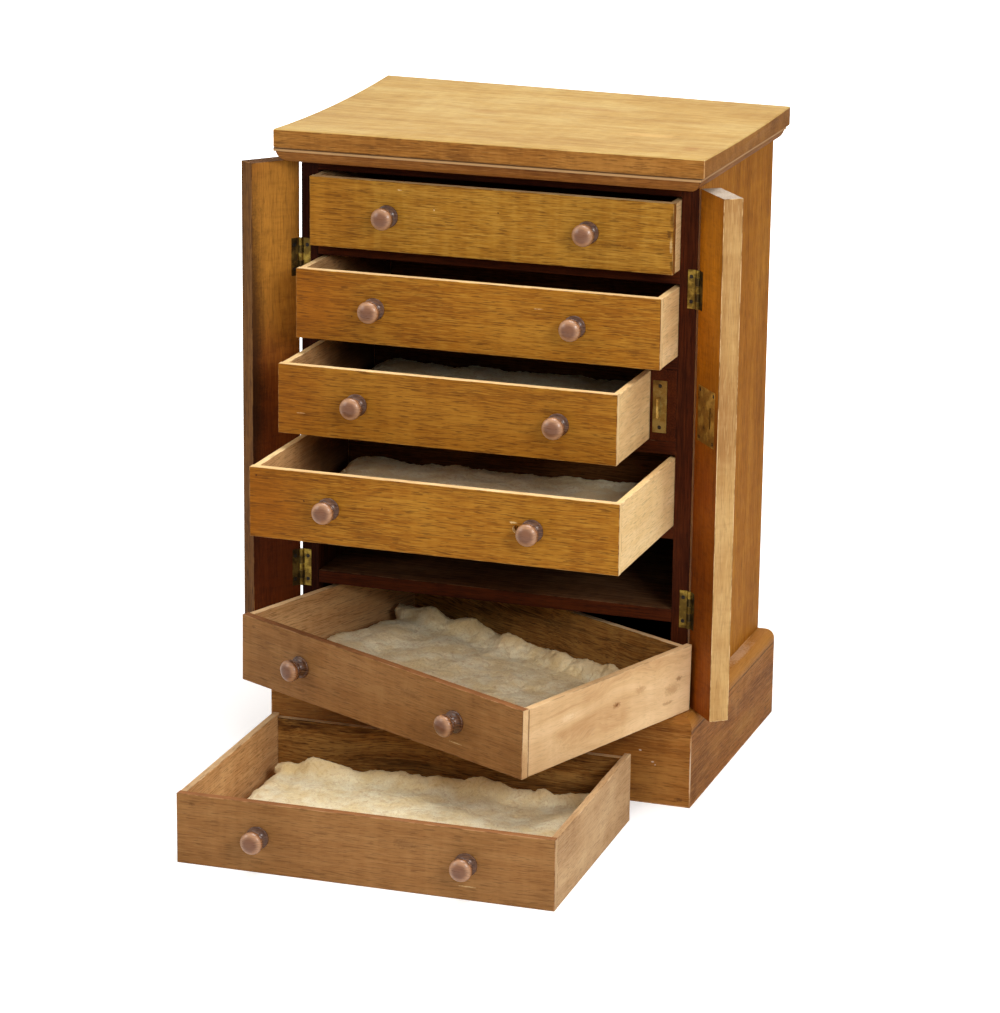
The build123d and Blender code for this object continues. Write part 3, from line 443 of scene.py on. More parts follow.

# The two flaps are stiles hinged to the case's front edges. Shut and locked they stand in front of the
# drawers' ends. Their inner faces kept their dark red polish, under painted light and shade, and the edges are
# rubbed bare.
inner_look = dict(shine=0.15, coat=0.05, bands=0.4, streaks=0.25, pores=0.28, flecks=0.4, ribbon=0.1,
                  crinkle=0.3, blotches=0.5, wear=0.0005, rough=0.38)
inner_finish = {
    "flap_left": wood("flap_left_inner", rgb(116, 56, 12), rgb(144, 82, 26), rgb(66, 24, 4),
                      rgb(150, 100, 50), **inner_look,
                      # Painted light on its upper part, painted shade lower down, and a painted shadow along the
                      # hinge side.
                      marks=((185, -8, 150, 70, 0.95, rgb(170, 114, 40)),
                             (-110, 6, 190, 80, 0.8, rgb(78, 26, 3)),
                             (60, 30, 260, 22, 0.85, rgb(30, 10, 2)))),
    "flap_right": wood("flap_right_inner", rgb(142, 70, 10), rgb(166, 92, 20), rgb(88, 36, 5),
                       rgb(160, 104, 50), **inner_look,
                       # Painted light on its upper part.
                       marks=((160, 0, 190, 80, 0.8, rgb(184, 112, 16)),)),
}
stain = rgb(132, 82, 84)
flap_bare = wood("flap_bare", rgb(187, 146, 90), rgb(208, 172, 116), rgb(154, 108, 62), rgb(218, 186, 138),
                 shine=0.1, bands=0.45, streaks=0.14, pores=0.22, flecks=0.3, ribbon=0.12, crinkle=0.15,
                 blotches=0.7, wear=0.0008, rough=0.58, marks=(
                     (58, 2, 14, 5, 0.8, stain), (20, 3, 22, 5, 0.7, stain),
                     (-60, 4, 20, 6, 0.5, stain), (150, 3, 24, 5, 0.4, stain),
                     (236, 0, 12, 20, 0.5, rgb(112, 78, 60)), (39, -4, 1.2, 1.0, 0.8, rgb(70, 40, 24))))
flap_end = wood("flap_end", rgb(178, 164, 148), rgb(194, 182, 166), rgb(148, 126, 106), rgb(204, 190, 172),
                shine=0.05, bands=0.4, pores=0.4, blotches=0.5, wear=0.0006, rough=0.7)
flap_rubbed = wood("flap_rubbed", rgb(106, 66, 26), rgb(130, 86, 40), rgb(66, 36, 12), rgb(150, 106, 62),
                   shine=0.15, bands=0.5, streaks=0.4, pores=0.6, crinkle=0.15, blotches=0.6, wear=0.0006,
                   rough=0.5)
flap_axes = {}
for hand, name, opened, edge, end in ((-1, "flap_left", 128.0, flap_rubbed, dusty),
                                      (1, "flap_right", 129.0, flap_bare, flap_end)):
    free = np.array([-hand * cos(radians(opened)), -sin(radians(opened)), 0.0])
    out = np.array([-free[1] * hand, free[0] * hand, 0.0])
    flap_axes[name] = np.array([free, out, [0.0, 0.0, 1.0]])
    boards(name, [outside, inner_finish[name], edge, end],
           lambda n, c: np.where(facing(n, 1, -1, 0.5), 1,
                                 np.where(facing(n, 0, 1, 0.5), 2, np.where(facing(n, 2, 1, 0.5), 3, 0))),
           axes=flap_axes[name])

# The butt hinges, their pins and screws, the lock and its keep are of brass, gone olive and nearly
# black in patches, and bright where they are rubbed. The lock and keep get painted shade where they lie deep.


def build_tarnish_group():
    """Aged metal: dull, brightened where noise is high and blackened where it is low, and also
    blackened with painted shade where Depth is more than Proud, so that what stands before it shows."""
    tree, given, out = new_group(
        "Tarnish",
        {"Bright": (0.6, 0.5, 0.2, 1.0), "Dull": (0.3, 0.2, 0.05, 1.0), "Black": (0.02, 0.01, 0.0, 1.0),
         "Depth": 0.0, "Proud": 0.0, "PaintedShade": 0.0},
        {"Colour": "NodeSocketColor", "Roughness": "NodeSocketFloat", "Height": "NodeSocketFloat"},
    )
    place = place_node(tree, "ShaderNodeTexCoord").outputs["Object"]
    cloud = noise(tree, place, (90, 90, 90), 4.0, 0.6).outputs[0]
    grit = noise(tree, place, (900, 900, 900), 3.0, 0.6).outputs[0]
    colour = tint(tree, step(tree, cloud, 0.45, 0.62), given["Dull"], given["Bright"])
    colour = tint(tree, step(tree, cloud, 0.42, 0.28, 0.7), colour, given["Black"])
    colour = tint(tree, step(tree, grit, 0.56, 0.7, 0.35), colour, given["Black"])
    # Painted shade: black on whatever lies deeper than Proud.
    sunk = step(tree, reckon(tree, "SUBTRACT", given["Depth"], given["Proud"]), -0.0003, 0.0003)
    colour = tint(tree, reckon(tree, "MULTIPLY", sunk, given["PaintedShade"]), colour, given["Black"])
    tree.links.new(colour, out.inputs["Colour"])
    tree.links.new(reckon(tree, "ADD", 0.2, reckon(tree, "MULTIPLY", 0.45, grit)), out.inputs["Roughness"])
    tree.links.new(grit, out.inputs["Height"])
    return tree


tarnish_group = build_tarnish_group()


def tarnished(name, bright, dull, black, metal=0.8, inward=(0.0, 1.0, 0.0), proud=0.0, darkening=0.0):
    """A metal material of the Tarnish group. Its depth is measured along inward, into the piece.
    Its last argument sets how much painted shade falls where the piece is deeper than proud.
    """
    material, tree, shader = new_material(name, Metallic=metal)
    place = place_node(tree, "ShaderNodeTexCoord").outputs["Object"]
    depth = place_node(tree, "ShaderNodeVectorMath", {0: place, 1: inward}, operation="DOT_PRODUCT")
    group = place_node(tree, "ShaderNodeGroup", node_tree=tarnish_group)
    tree.links.new(depth.outputs["Value"], group.inputs["Depth"])
    inputs = {"Bright": bright, "Dull": dull, "Black": black, "Proud": proud, "PaintedShade": darkening}
    for title, given in inputs.items():
        group.inputs[title].default_value = given
    tree.links.new(group.outputs["Colour"], shader.inputs["Base Color"])
    tree.links.new(group.outputs["Roughness"], shader.inputs["Roughness"])
    relief = place_node(tree, "ShaderNodeBump", {"Height": group.outputs["Height"], "Distance": 0.0002,
                                                 "Strength": 0.5})
    tree.links.new(relief.outputs[0], shader.inputs["Normal"])
    return material


brass = tarnished("brass_rubbed", rgb(206, 176, 92), rgb(158, 124, 56), rgb(60, 44, 18))
brass_hinge = tarnished("brass_hinge", rgb(176, 146, 62), rgb(110, 86, 32), rgb(20, 14, 6))
brass_dark = tarnished("brass_dark", rgb(112, 92, 42), rgb(66, 50, 20), rgb(16, 12, 6))
iron = tarnished("iron_dark", rgb(44, 36, 26), rgb(24, 18, 12), rgb(8, 6, 4), metal=0.4)
keep_front, keep_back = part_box("keep_plate")
# Painted shade on the keep plate behind the front half of its staple.
brass_keep = tarnished("brass_keep", rgb(226, 198, 116), rgb(190, 152, 76), rgb(84, 60, 26),
                       proud=(keep_front[1] + keep_back[1]) / 2, darkening=0.6)
inward = flap_axes["flap_right"][1]
lock_front = min(Vector(inward).dot(vert.co) for vert in nodes["lock_case"].data.vertices)
# Painted shade on whatever lies more than half a millimetre behind the lock's front, such as the walls of its
# slot.
brass_lock = tarnished("brass_lock", rgb(222, 184, 96), rgb(176, 132, 58), rgb(10, 7, 4),
                       inward=tuple(inward), proud=lock_front + 0.0005, darkening=1.0)
# The lock's bolt takes the dark iron, as painted shade in its slot.
brass_pieces = {
    "case_hinge_leaves": brass_hinge, "hinge_pins": brass_hinge, "case_screws": iron,
    "flap_left_leaves": brass_dark, "flap_right_leaves": brass_dark, "flap_left_screws": iron,
    "flap_right_screws": iron, "lock_case": brass_lock, "lock_bolt": iron, "key_escutcheon": brass,
    "keep_plate": brass_keep,
}
for name, material in brass_pieces.items():
    nodes[name].data.materials.clear()
    nodes[name].data.materials.append(material)

# Each drawer has a polished front as wide as the opening, sides and a lower back of bare wood, and
# a bottom in grooves. The lowest two have come out: 5 lies askew and 6 stands on the floor.
speck = rgb(226, 196, 140)
dint = rgb(60, 30, 8)
gold = dict(bands=0.45, streaks=0.45, pores=0.6, flecks=0.5, blotches=0.4, wear=0.0006, rough=0.4, shine=0.16)
red = rgb(132, 72, 2)
gold_tones = (rgb(164, 112, 30), rgb(188, 140, 54), rgb(120, 70, 12), rgb(186, 146, 86))
honey_tones = (rgb(156, 98, 20), rgb(180, 128, 42), rgb(112, 62, 8), rgb(186, 146, 86))
front_finish = {
    1: wood("front_1", *gold_tones, **gold, ribbon=0.3, crinkle=0.06, marks=(
        (-190, 0, 100, 80, 0.5, rgb(150, 88, 4)), (-86.9, 25.8, 2.6, 0.5, 0.8, speck),
        (-52.8, 9.8, 0.9, 0.9, 0.9, speck), (9, 11.7, 0.9, 0.9, 0.9, dint),
        (-52.8, 11.2, 0.8, 0.5, 0.9, dint), (174, 18, 3.0, 9, 0.6, dint), (173, -6, 1.6, 9, 0.4, speck),
        (171, 4, 2.6, 5, 0.6, dint), (174, -24, 2.2, 6, 0.6, dint), (120, -10, 22, 2.0, 0.3, dint))),
    2: wood("front_2", *honey_tones, **gold, ribbon=0.1, crinkle=0.06, marks=(
        (-190, 0, 100, 80, 0.8, red),
        (-120, -8, 0.8, 0.8, 0.8, dint), (60, 14, 5, 0.5, 0.5, speck), (150, -18, 8, 3, 0.3, dint))),
    3: wood("front_3", *honey_tones, **gold, ribbon=0.12, crinkle=0.08, marks=(
        (0, 0, 260, 90, 0.25, rgb(132, 80, 14)), (-190, 0, 100, 80, 0.6, red),
        (-30, 6, 0.8, 0.8, 0.8, dint), (96, 12, 9, 2.4, 0.3, dint), (-140, -12, 5, 0.5, 0.4, speck))),
    4: wood("front_4", *honey_tones, **gold, ribbon=0.15, crinkle=0.06, marks=(
        (-190, 0, 100, 80, 0.8, red),
        (-168.4, 25.2, 1.2, 1.2, 0.95, dint), (-121.9, 5.6, 1.0, 1.0, 0.95, dint),
        (-46.8, 5.9, 1.0, 1.0, 0.95, dint), (77, 6.2, 4.2, 1.1, 0.8, speck), (84, -6, 1.2, 4.0, 0.5, dint),
        (-100, -14, 16, 2.0, 0.25, dint))),
}
rose = dict(gold, bands=0.35, streaks=0.22, pores=0.4, flecks=0.25)
rose_tones = (rgb(146, 100, 54), rgb(166, 122, 74), rgb(110, 70, 32), rgb(172, 130, 90))
for number in (5, 6):
    front_finish[number] = wood(f"front_{number}", *rose_tones, **rose, ribbon=0.12, crinkle=0.1, marks=(
        (-98.9, -22.6, 10, 2.0, 0.3, dint), (40, 12, 14, 5, 0.25, dint), (-160, 24, 4, 2, 0.4, dint),
        (96, -20, 9, 0.6, 0.5, speck)))
plain = dict(shine=0.12, bands=0.4, streaks=0.2, pores=0.35, flecks=0.2, ribbon=0.08, crinkle=0.1,
             blotches=0.5, wave=0.012, wear=0.0005, rough=0.58)
bare = wood("drawer_bare", rgb(188, 152, 110), rgb(208, 176, 134), rgb(152, 112, 74),
            rgb(212, 180, 142), **plain)
rim = wood("drawer_rim", rgb(142, 92, 54), rgb(166, 116, 76), rgb(100, 60, 32), rgb(190, 142, 100), **plain)
pale = wood("drawer_pale", rgb(230, 194, 136), rgb(244, 214, 164), rgb(200, 156, 104),
            rgb(238, 208, 164), **plain)
seam = rgb(96, 58, 26)
figured = wood("drawer_5_side", rgb(216, 178, 130), rgb(232, 198, 152), rgb(186, 140, 92), rgb(226, 196, 156),
               shine=0.12, bands=0.6, streaks=0.12, pores=0.15, flecks=0.12, ribbon=0.1, crinkle=0.04,
               blotches=0.6, wave=0.07, wear=0.0005, rough=0.58, marks=(
                   (-113.2, 0, 0.7, 60, 0.8, seam),
                   (7.7, 2.4, 6, 3.4, 0.7, rgb(150, 100, 56)), (7.7, 2.4, 2.4, 1.5, 0.8, rgb(104, 62, 30)),
                   (40, 8, 9, 4, 0.4, rgb(160, 110, 64)), (86, -4, 14, 7, 0.4, rgb(160, 112, 66)),
                   (96, 4, 5, 2.6, 0.6, rgb(134, 88, 46)), (80, -16, 10, 2, 0.5, rgb(150, 100, 56)),
                   (-60, 10, 12, 4, 0.3, rgb(242, 216, 174))))
rear = wood("drawer_rear", rgb(150, 100, 44), rgb(182, 134, 70), rgb(58, 28, 8), rgb(170, 126, 78),
            shine=0.12, bands=0.9, streaks=0.5, pores=0.6, flecks=0.2, blotches=0.5, wave=0.03, wear=0.0005,
            rough=0.6)
# Painted shade: the pale inner wood of drawers 1 to 4 under a broad dark wash.
inside_with_painted_shade = wood("drawer_deep_inside", rgb(190, 144, 94), rgb(210, 168, 118), rgb(146, 100, 58),
                   rgb(210, 168, 118), shine=0.12, bands=0.5, streaks=0.3, pores=0.5, flecks=0.3,
                   blotches=0.5, wear=0.0005, rough=0.6,
                   marks=((100, 0, 170, 80, 0.9, rgb(78, 46, 22)),))
# Painted shade: a darker copy of the rear wood, for the backs of drawers 1 to 4.
rear_painted_shade = wood("drawer_aged_rear", rgb(96, 58, 26), rgb(124, 80, 42), rgb(52, 26, 10), rgb(140, 100, 62),
                 shine=0.08, bands=0.6, streaks=0.4, pores=0.5, blotches=0.5, wear=0.0005, rough=0.6)
inside = wood("drawer_inside", rgb(198, 150, 98), rgb(218, 176, 124), rgb(154, 106, 62), rgb(210, 168, 118),
              shine=0.12, bands=0.5, streaks=0.3, pores=0.5, flecks=0.3, crinkle=0.08, blotches=0.5,
              wear=0.0005, rough=0.6)
drawer_axes = {number: upright for number in range(1, 5)}
for joint in frame["joints"]:
    if joint["name"] in ("drawer_5_slide", "drawer_6_slide"):
        number = int(joint["name"][7])
        back = -np.array(joint["axis"])
        bottom = max(nodes[f"drawer_{number}_bottom"].data.polygons,
                     key=lambda face: face.area * (face.normal.z > 0.9))
        up = np.array(bottom.normal)
        drawer_axes[number] = np.array([np.cross(back, up), back, up])
for number in range(1, 7):
    axes = drawer_axes[number]
    outer = {1: edge_finish, 5: figured, 6: bare}.get(number, pale)
    boards(f"drawer_{number}_front", [front_finish[number], inside, pale if number < 5 else rim, outer],
           lambda n, c: np.where(facing(n, 1, -1, 0.4), 0,
                                 np.where(facing(n, 1, 1), 1, np.where(facing(n, 2, 1), 2, 3))),
           axes=axes)
    middle = np.mean(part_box(f"drawer_{number}_bottom"), axis=0) @ axes.T
    boards(f"drawer_{number}_walls", [outer, inside, rear] if number > 4 else [pale, inside_with_painted_shade, rear_painted_shade],
           lambda n, c, m=middle: np.where(n[:, 0] * (c[:, 0] - m[0]) > 0.02, 0,
                                           np.where(facing(n, 2, 1, 0.5), 0,
                                                    np.where(abs(n[:, 1]) > 0.6, 2, 1))),
           axes=axes)
    boards(f"drawer_{number}_bottom", [inside], axes=axes)

# The knobs are turned: a flange against the front, a hollowed neck, a bead, a thin ring and a domed
# head, all glossy from two centuries of fingers.
KNOB_SPACING = 0.193
KNOB_REACH = 0.0208
KNOB_TURNS = 72


def arc(start, middle, end, count=7):
    """Points on the circle through three points, without the first."""
    (ax, ay), (bx, by), (cx, cy) = start, middle, end
    d = 2 * (ax * (by - cy) + bx * (cy - ay) + cx * (ay - by))
    ux = ((ax**2 + ay**2) * (by - cy) + (bx**2 + by**2) * (cy - ay) + (cx**2 + cy**2) * (ay - by)) / d
    uy = ((ax**2 + ay**2) * (cx - bx) + (bx**2 + by**2) * (ax - cx) + (cx**2 + cy**2) * (bx - ax)) / d
    turns = np.unwrap([np.arctan2(y - uy, x - ux) for x, y in (start, middle, end)])
    turn = np.linspace(turns[0], turns[2], count + 1)[1:]
    size = np.hypot(ax - ux, ay - uy)
    return [(ux + size * cos(t), uy + size * sin(t)) for t in turn]


def knob_profile():
    """The knob's outline as pairs of radius and distance out, in millimetres, foot to crown."""
    points = [(0.0, -0.5), (9.9, -0.5), (10.4, 0.0)]
    points += arc((10.4, 0.0), (10.6, 0.8), (10.2, 1.6))
    points += arc((10.2, 1.6), (6.6, 3.2), (4.9, 6.0))
    points += arc((4.9, 6.0), (5.3, 8.0), (7.2, 9.0), 4)
    points += arc((7.2, 9.0), (8.0, 9.5), (7.7, 10.1), 4)
    points += [(7.8, 10.3), (9.4, 10.5)]
    points += arc((9.4, 10.5), (9.9, 11.1), (9.5, 11.8), 4)
    points += [(8.9, 12.1), (8.9, 12.5), (9.7, 12.8)]
    points += arc((9.7, 12.8), (10.3, 15.2), (8.6, 18.2), 9)
    points += arc((8.6, 18.2), (4.9, 20.1), (0.0, 20.8), 8)
    return np.array(points) / 1000


def knob_mesh(name, centres, axes):
    """Turns the outline about each knob's axis: a point at radius r and angle a stands r cos a to
    the right of the axis, r sin a above it, and its own distance out of the front."""
    outline = knob_profile()
    turn = np.arange(KNOB_TURNS) * 2 * pi / KNOB_TURNS
    ring = np.stack([outline[:, :1] * np.cos(turn), np.repeat(-outline[:, 1:], KNOB_TURNS, 1),
                     outline[:, :1] * np.sin(turn)], -1)
    rows, columns = np.meshgrid(np.arange(len(outline) - 1), np.arange(KNOB_TURNS), indexing="ij")
    after = (columns + 1) % KNOB_TURNS
    quads = np.stack([rows * KNOB_TURNS + columns, rows * KNOB_TURNS + after,
                      (rows + 1) * KNOB_TURNS + after, (rows + 1) * KNOB_TURNS + columns], -1).reshape(-1, 4)
    out = np.tile(np.repeat(outline[:, 1], KNOB_TURNS), len(centres))
    points = [ring.reshape(-1, 3) @ axes + centre for centre in centres]
    faces = [quads + number * ring.shape[0] * KNOB_TURNS for number in range(len(centres))]
    mesh = bpy.data.meshes.new(name)
    mesh.from_pydata(np.concatenate(points).tolist(), [], np.concatenate(faces).tolist())
    mesh.attributes.new("out", "FLOAT", "POINT").data.foreach_set("value", out)
    form = bmesh.new()
    form.from_mesh(mesh)
    bmesh.ops.remove_doubles(form, verts=form.verts, dist=1e-6)
    bmesh.ops.recalc_face_normals(form, faces=form.faces)
    form.to_mesh(mesh)
    form.free()
    mesh.polygons.foreach_set("use_smooth", [True] * len(mesh.polygons))
    return mesh


def build_knob_finish():
    """Pinkish-brown polished wood, darker behind the head and on its crown, with a painted highlight in a pale
    ring between.
    """
    material, tree, shader = new_material("knob_polish", Coat_Weight=0.2, Coat_Roughness=0.08,
                                          Specular_IOR_Level=0.3)
    place = place_node(tree, "ShaderNodeTexCoord").outputs["Object"]
    grain = noise(tree, place, (120, 400, 1000), 3.0, 0.6).outputs[0]
    cloud = noise(tree, place, (70, 70, 70), 2.0).outputs[0]
    colour = tint(tree, step(tree, grain, 0.4, 0.6), rgb(80, 45, 22), rgb(148, 98, 60))
    colour = tint(tree, step(tree, cloud, 0.44, 0.62, 0.5), colour, rgb(104, 64, 38))
    out = place_node(tree, "ShaderNodeAttribute", attribute_name="out").outputs["Fac"]
    colour = tint(tree, step(tree, out, 0.0136, 0.0126, 0.6), colour, rgb(50, 26, 14))
    # Painted highlight: a pale ring round the head.
    colour = tint(tree, step(tree, out, 0.0150, 0.0178, 0.5), colour, rgb(198, 152, 116))
    colour = tint(tree, step(tree, out, 0.0182, 0.0203, 0.7), colour, rgb(84, 36, 12))
    tree.links.new(colour, shader.inputs["Base Color"])
    tree.links.new(reckon(tree, "ADD", 0.2, reckon(tree, "MULTIPLY", 0.2, grain)), shader.inputs["Roughness"])
    relief = place_node(tree, "ShaderNodeBump", {"Height": grain, "Distance": 0.0001, "Strength": 0.1})
    tree.links.new(relief.outputs[0], shader.inputs["Normal"])
    return material


knob_finish = build_knob_finish()
for number in range(1, 7):
    node = f"drawer_{number}_knobs"
    axes = drawer_axes[number]
    points = np.array([vert.co for vert in nodes[node].data.vertices]) @ axes.T
    low, high = points.min(0), points.max(0)
    face = low[1] + KNOB_REACH
    middle = (low[0] + high[0]) / 2
    rise = (low[2] + high[2]) / 2
    centres = [np.array([middle + sign * KNOB_SPACING / 2, face, rise]) @ axes for sign in (-1, 1)]
    piece = bpy.data.objects.new(node + "_turned", knob_mesh(node + "_turned", centres, axes))
    bpy.context.scene.collection.objects.link(piece)
    piece.data.materials.append(knob_finish)
    nodes[node].data.materials.clear()
    nodes[node].data.materials.append(knob_finish)
    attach(piece, f"drawer_{number}")
    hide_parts(node)

# Drawers 3 to 6 are lined with cotton wool, pulled into a loose bed of soft lumps.


def build_wool():
    """Cream cotton wool: soft cloudy colour, tan where it is matted or stands high, and a fine tangle
    of fibres."""
    material, tree, shader = new_material("cotton_wool", Roughness=0.95, Sheen_Weight=0.12,
                                          Sheen_Roughness=0.6)
    place = place_node(tree, "ShaderNodeTexCoord").outputs["Object"]
    cloud = noise(tree, place, (40, 40, 40), 4.0, 0.6).outputs[0]
    fibre = noise(tree, place, (600, 600, 600), 5.0, 0.75, 1.5).outputs[0]
    matted = noise(tree, place, (130, 130, 130), 5.0, 0.7, 1.2).outputs[0]
    rise = place_node(tree, "ShaderNodeAttribute", attribute_name="rise").outputs["Fac"]
    colour = tint(tree, step(tree, cloud, 0.35, 0.65), rgb(240, 216, 162), rgb(252, 240, 204))
    colour = tint(tree, step(tree, rise, 0.016, 0.03, 0.7), colour, rgb(226, 192, 132))
    colour = tint(tree, step(tree, fibre, 0.52, 0.36, 0.4), colour, rgb(190, 156, 100))
    colour = tint(tree, step(tree, matted, 0.5, 0.36, 0.5), colour, rgb(206, 170, 112))
    tree.links.new(colour, shader.inputs["Base Color"])
    height = reckon(tree, "ADD", reckon(tree, "MULTIPLY", 0.5, fibre), matted)
    relief = place_node(tree, "ShaderNodeBump", {"Height": height, "Distance": 0.002, "Strength": 1.0})
    tree.links.new(relief.outputs[0], shader.inputs["Normal"])
    return material


wool = build_wool()
VOXEL = 0.005
SHRINK = np.array([0.003, 0.003, 0.002])
SWELL = 0.005
LUMP = 0.0032
RAGGED = 0.008
SIDE = 0.03
FLAT_BED = 0.012
SWAY = 0.006
TUFT = 0.0011
OVERLAP = 0.012
HEADROOM = 0.003


def shape_of(piece):
    """A new mesh of what a piece's modifiers make of it."""
    seen = piece.evaluated_get(bpy.context.evaluated_depsgraph_get())
    return bpy.data.meshes.new_from_object(seen)


def points_of(mesh):
    """A mesh's points as rows."""
    points = np.zeros(len(mesh.vertices) * 3)
    mesh.vertices.foreach_get("co", points)
    return points.reshape(-1, 3)


def soft_noise(points, cell, seed):
    """Soft noise of -1 to 1 at each point, with lumps about as wide as cell."""
    return np.array([field.fractal(Vector(point / cell) + Vector((seed, seed, seed)), 0.8, 2.0, 3)
                     for point in points])


def wool_bed(number):
    """A drawer's cotton wool: its solids drawn in, meshed evenly, swollen as cloth under pressure,
    then pulled into lumps, ragged along its sides, and roughened by small tufts.

    In the drawer's own axes a point goes up by LUMP times the noise at it, and nearer than SIDE to
    a side it goes in towards the middle by RAGGED times the noise. The roll behind the flat bed
    of drawers 5 and 6 rises and sways with noise along it. No point leaves the box of the bed's
    solids, but for HEADROOM upward."""
    node = f"drawer_{number}_bed"
    axes = drawer_axes[number]
    form = bmesh.new()
    form.from_mesh(nodes[node].data)
    bmesh.ops.remove_doubles(form, verts=form.verts, dist=WELD)
    form.verts.index_update()
    places = np.array([vert.co for vert in form.verts]) @ axes.T
    low, high = places.min(0), places.max(0)
    for faces in islands(form):
        mine = sorted({vert.index for face in faces for vert in face.verts})
        foot, top = places[mine].min(0), places[mine].max(0)
        half = (top - foot) / 2
        places[mine] = (foot + top) / 2 + (places[mine] - (foot + top) / 2) * (half - SHRINK) / half
        if foot[1] > low[1] + 0.1:
            places[mine, 1] -= OVERLAP
            places[mine, 2] += SHRINK[2]
    for vert, place in zip(form.verts, places @ axes):
        vert.co = place
    mesh = bpy.data.meshes.new(node + "_wool")
    form.to_mesh(mesh)
    form.free()
    piece = bpy.data.objects.new(node + "_wool", mesh)
    bpy.context.scene.collection.objects.link(piece)
    remesh = piece.modifiers.new("even", "REMESH")
    remesh.mode = "VOXEL"
    remesh.voxel_size = VOXEL
    piece.data = shape_of(piece)
    piece.modifiers.clear()
    before = points_of(piece.data)
    after = before
    swell = piece.modifiers.new("swell", "CLOTH")
    swell.settings.use_pressure = True
    swell.settings.uniform_pressure_force = 4.0
    swell.settings.effector_weights.gravity = 0.0
    for moment in range(1, 21):
        bpy.context.scene.frame_set(moment)
    after = points_of(shape_of(piece))
    piece.modifiers.clear()
    bpy.context.scene.frame_set(1)
    moved = after - before
    moved *= np.minimum(1.0, SWELL / np.maximum(np.linalg.norm(moved, axis=1), 1e-9))[:, None]
    places = (before + moved) @ axes.T
    risen = (places[:, 2] - low[2]) / (high[2] - low[2])
    middle = (low + high) / 2
    drawn = np.clip(0.5 + soft_noise(places, 0.028, 3.0 + number), 0, 1) * RAGGED
    lump = soft_noise(places, 0.034, number) + 0.55 * soft_noise(places, 0.013, 20.0 + number)
    places[:, 2] += LUMP * lump * np.clip(3 * risen, 0, 1)
    if number in (5, 6):
        flat = low[2] + FLAT_BED
        crown = np.clip(0.75 + 0.6 * soft_noise(places * (1, 0, 0), 0.05, 60.0 + number), 0.3, 1.15)
        over = places[:, 2] > flat
        places[over, 2] = flat + (places[over, 2] - flat) * crown[over]
        sway = soft_noise(places * (1, 0, 0), 0.04, 70.0 + number)
        places[:, 1] += SWAY * sway * np.clip(risen, 0, 1)
    for axis in (0, 1):
        from_middle = places[:, axis] - middle[axis]
        near = np.clip(1 - (high[axis] - low[axis]) / 2 / SIDE + abs(from_middle) / SIDE, 0, 1)
        places[:, axis] -= np.sign(from_middle) * near * drawn
    piece.data.vertices.foreach_set("co", (places @ axes).ravel())
    finer = piece.modifiers.new("finer", "SUBSURF")
    finer.levels = 1
    piece.data = shape_of(piece)
    piece.modifiers.clear()
    places = points_of(piece.data) @ axes.T
    risen = np.clip((places[:, 2] - low[2]) / 0.006, 0, 1)
    tufts = np.stack([soft_noise(places, 0.004, 40.0 + axis) for axis in range(3)], 1)
    places += TUFT * risen[:, None] * tufts
    places = np.clip(places, low + 0.0002, high + np.array([-0.0002, -0.0002, HEADROOM]))
    piece.data.vertices.foreach_set("co", (places @ axes).ravel())
    piece.data.attributes.new("rise", "FLOAT", "POINT").data.foreach_set("value", places[:, 2] - low[2])
    piece.data.polygons.foreach_set("use_smooth", [True] * len(piece.data.polygons))
    piece.data.materials.clear()
    piece.data.materials.append(wool)
    nodes[node].data.materials.clear()
    nodes[node].data.materials.append(wool)
    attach(piece, f"drawer_{number}")
    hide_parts(node)


for number in (3, 4, 5, 6):
    wool_bed(number)

# The stage: a wide pale floor that reads as white, and big soft lights over and beside it.
floor_material, floor_tree, floor_shader = new_material("floor", Roughness=0.9, Specular_IOR_Level=0.1)
floor_place = place_node(floor_tree, "ShaderNodeTexCoord").outputs["Object"]
grain = noise(floor_tree, floor_place, (3, 3, 3), 2.0).outputs[0]
floor_colour = tint(floor_tree, grain, rgb(240, 240, 240), rgb(243, 243, 243))
floor_tree.links.new(floor_colour, floor_shader.inputs["Base Color"])
away = place_node(floor_tree, "ShaderNodeVectorMath", {0: floor_place}, operation="LENGTH").outputs["Value"]
seen = place_node(floor_tree, "ShaderNodeLightPath").outputs["Is Camera Ray"]
glow = reckon(floor_tree, "ADD", 0.4, step(floor_tree, away, 0.5, 2.5, 1.2))
floor_tree.links.new(reckon(floor_tree, "MULTIPLY", seen, glow), floor_shader.inputs["Emission Strength"])
floor_shader.inputs["Emission Color"].default_value = (1.0, 1.0, 1.0, 1.0)
mesh = bpy.data.meshes.new("floor")
mesh.from_pydata([(-6, -6, 0), (6, -6, 0), (6, 6, 0), (-6, 6, 0)], [], [(0, 1, 2, 3)])
mesh.materials.append(floor_material)
floor_piece = bpy.data.objects.new("floor", mesh)
bpy.context.scene.collection.objects.link(floor_piece)

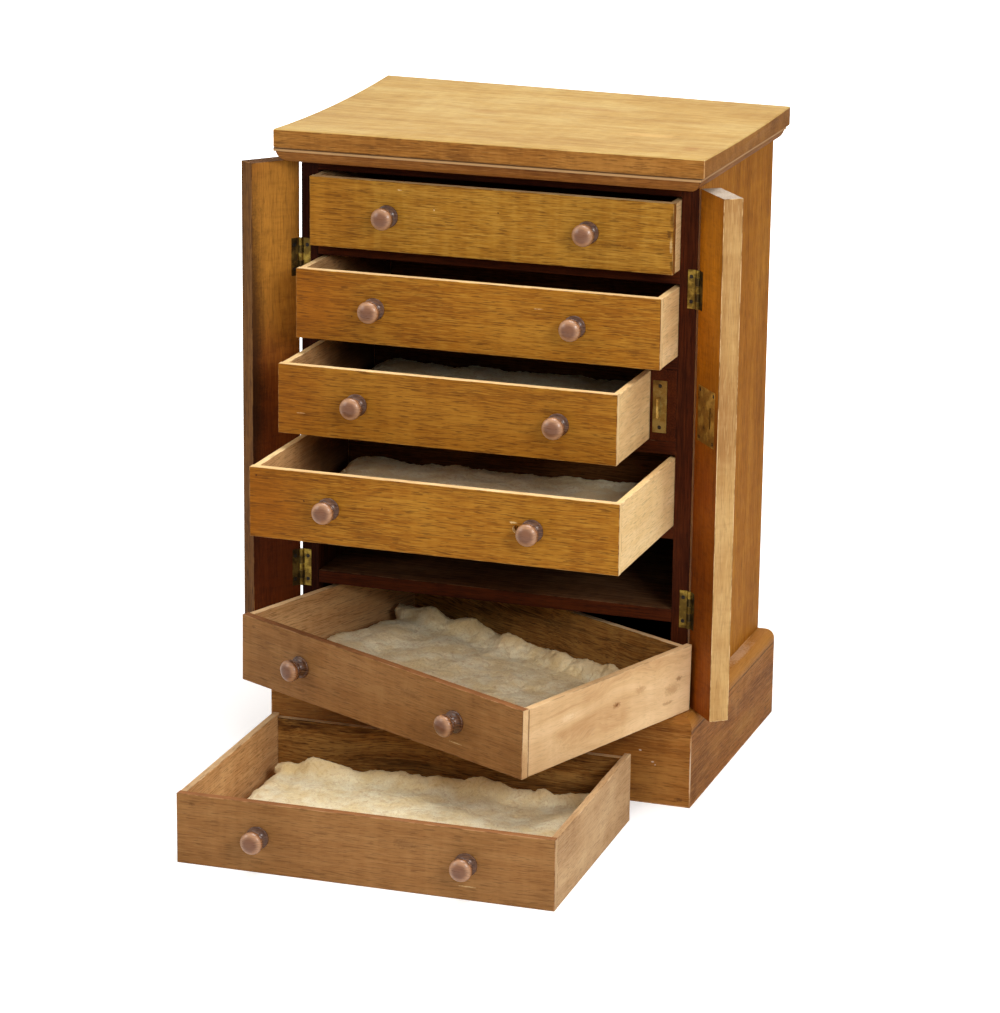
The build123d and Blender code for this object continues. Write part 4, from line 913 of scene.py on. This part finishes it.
world = bpy.data.worlds.new("studio")
bpy.context.scene.world = world
world.use_nodes = True
sky_tree = world.node_tree
sky = sky_tree.nodes["Background"]
rays = place_node(sky_tree, "ShaderNodeLightPath").outputs
mirrored = reckon(sky_tree, "MAXIMUM", rays["Is Glossy Ray"], rays["Is Transmission Ray"])
white = tint(sky_tree, mirrored, (0.315, 0.305, 0.285, 1.0), (1.0, 1.0, 1.0, 1.0))
white = tint(sky_tree, rays["Is Camera Ray"], white, (1.3, 1.3, 1.3, 1.0))
sky_tree.links.new(white, sky.inputs["Color"])
sky.inputs["Strength"].default_value = 1.0


def light(name, place, aim, size, power, colour=(1.0, 1.0, 1.0)):
    """A square soft light at a place, aimed at a point."""
    lamp = bpy.data.lights.new(name, "AREA")
    lamp.size = size
    lamp.energy = power
    lamp.color = colour
    piece = bpy.data.objects.new(name, lamp)
    piece.location = place
    piece.rotation_euler = (Vector(aim) - Vector(place)).to_track_quat("-Z", "Y").to_euler()
    bpy.context.scene.collection.objects.link(piece)


light("over", (0.2, -0.1, 2.6), (0, 0.1, 0.3), 1.6, 60)
light("left", (-2.2, -1.6, 1.5), (0, 0, 0.3), 1.2, 16)
light("right", (1.9, -1.9, 1.5), (0, 0, 0.3), 0.9, 40)

# The camera stands in front and to the right, a little above, with a long lens, as in the photo.
LENS = 132.13
PITCH, ROLL, YAW = -0.27629, 0.01211, 0.32747
SHIFT = (0.02647, 0.04574, 3.56011)
AIM = np.array([0.0, 0.1305, 0.28])
forward = np.array([-sin(YAW) * cos(PITCH), cos(YAW) * cos(PITCH), sin(PITCH)])
right = np.cross(forward, [0, 0, 1])
right /= np.linalg.norm(right)
up = np.cross(right, forward)
right, up = right * cos(ROLL) + up * sin(ROLL), up * cos(ROLL) - right * sin(ROLL)
camera = bpy.data.objects.new("camera", bpy.data.cameras.new("camera"))
camera.data.lens = LENS
camera.data.clip_end = 50
turned = Matrix(np.stack([right, up, -forward], 1).tolist()).to_4x4()
turned.translation = Vector(AIM - SHIFT[0] * right - SHIFT[1] * up - SHIFT[2] * forward)
camera.matrix_world = turned
bpy.context.scene.collection.objects.link(camera)
bpy.context.scene.camera = camera
bpy.context.scene.view_settings.view_transform = "Standard"
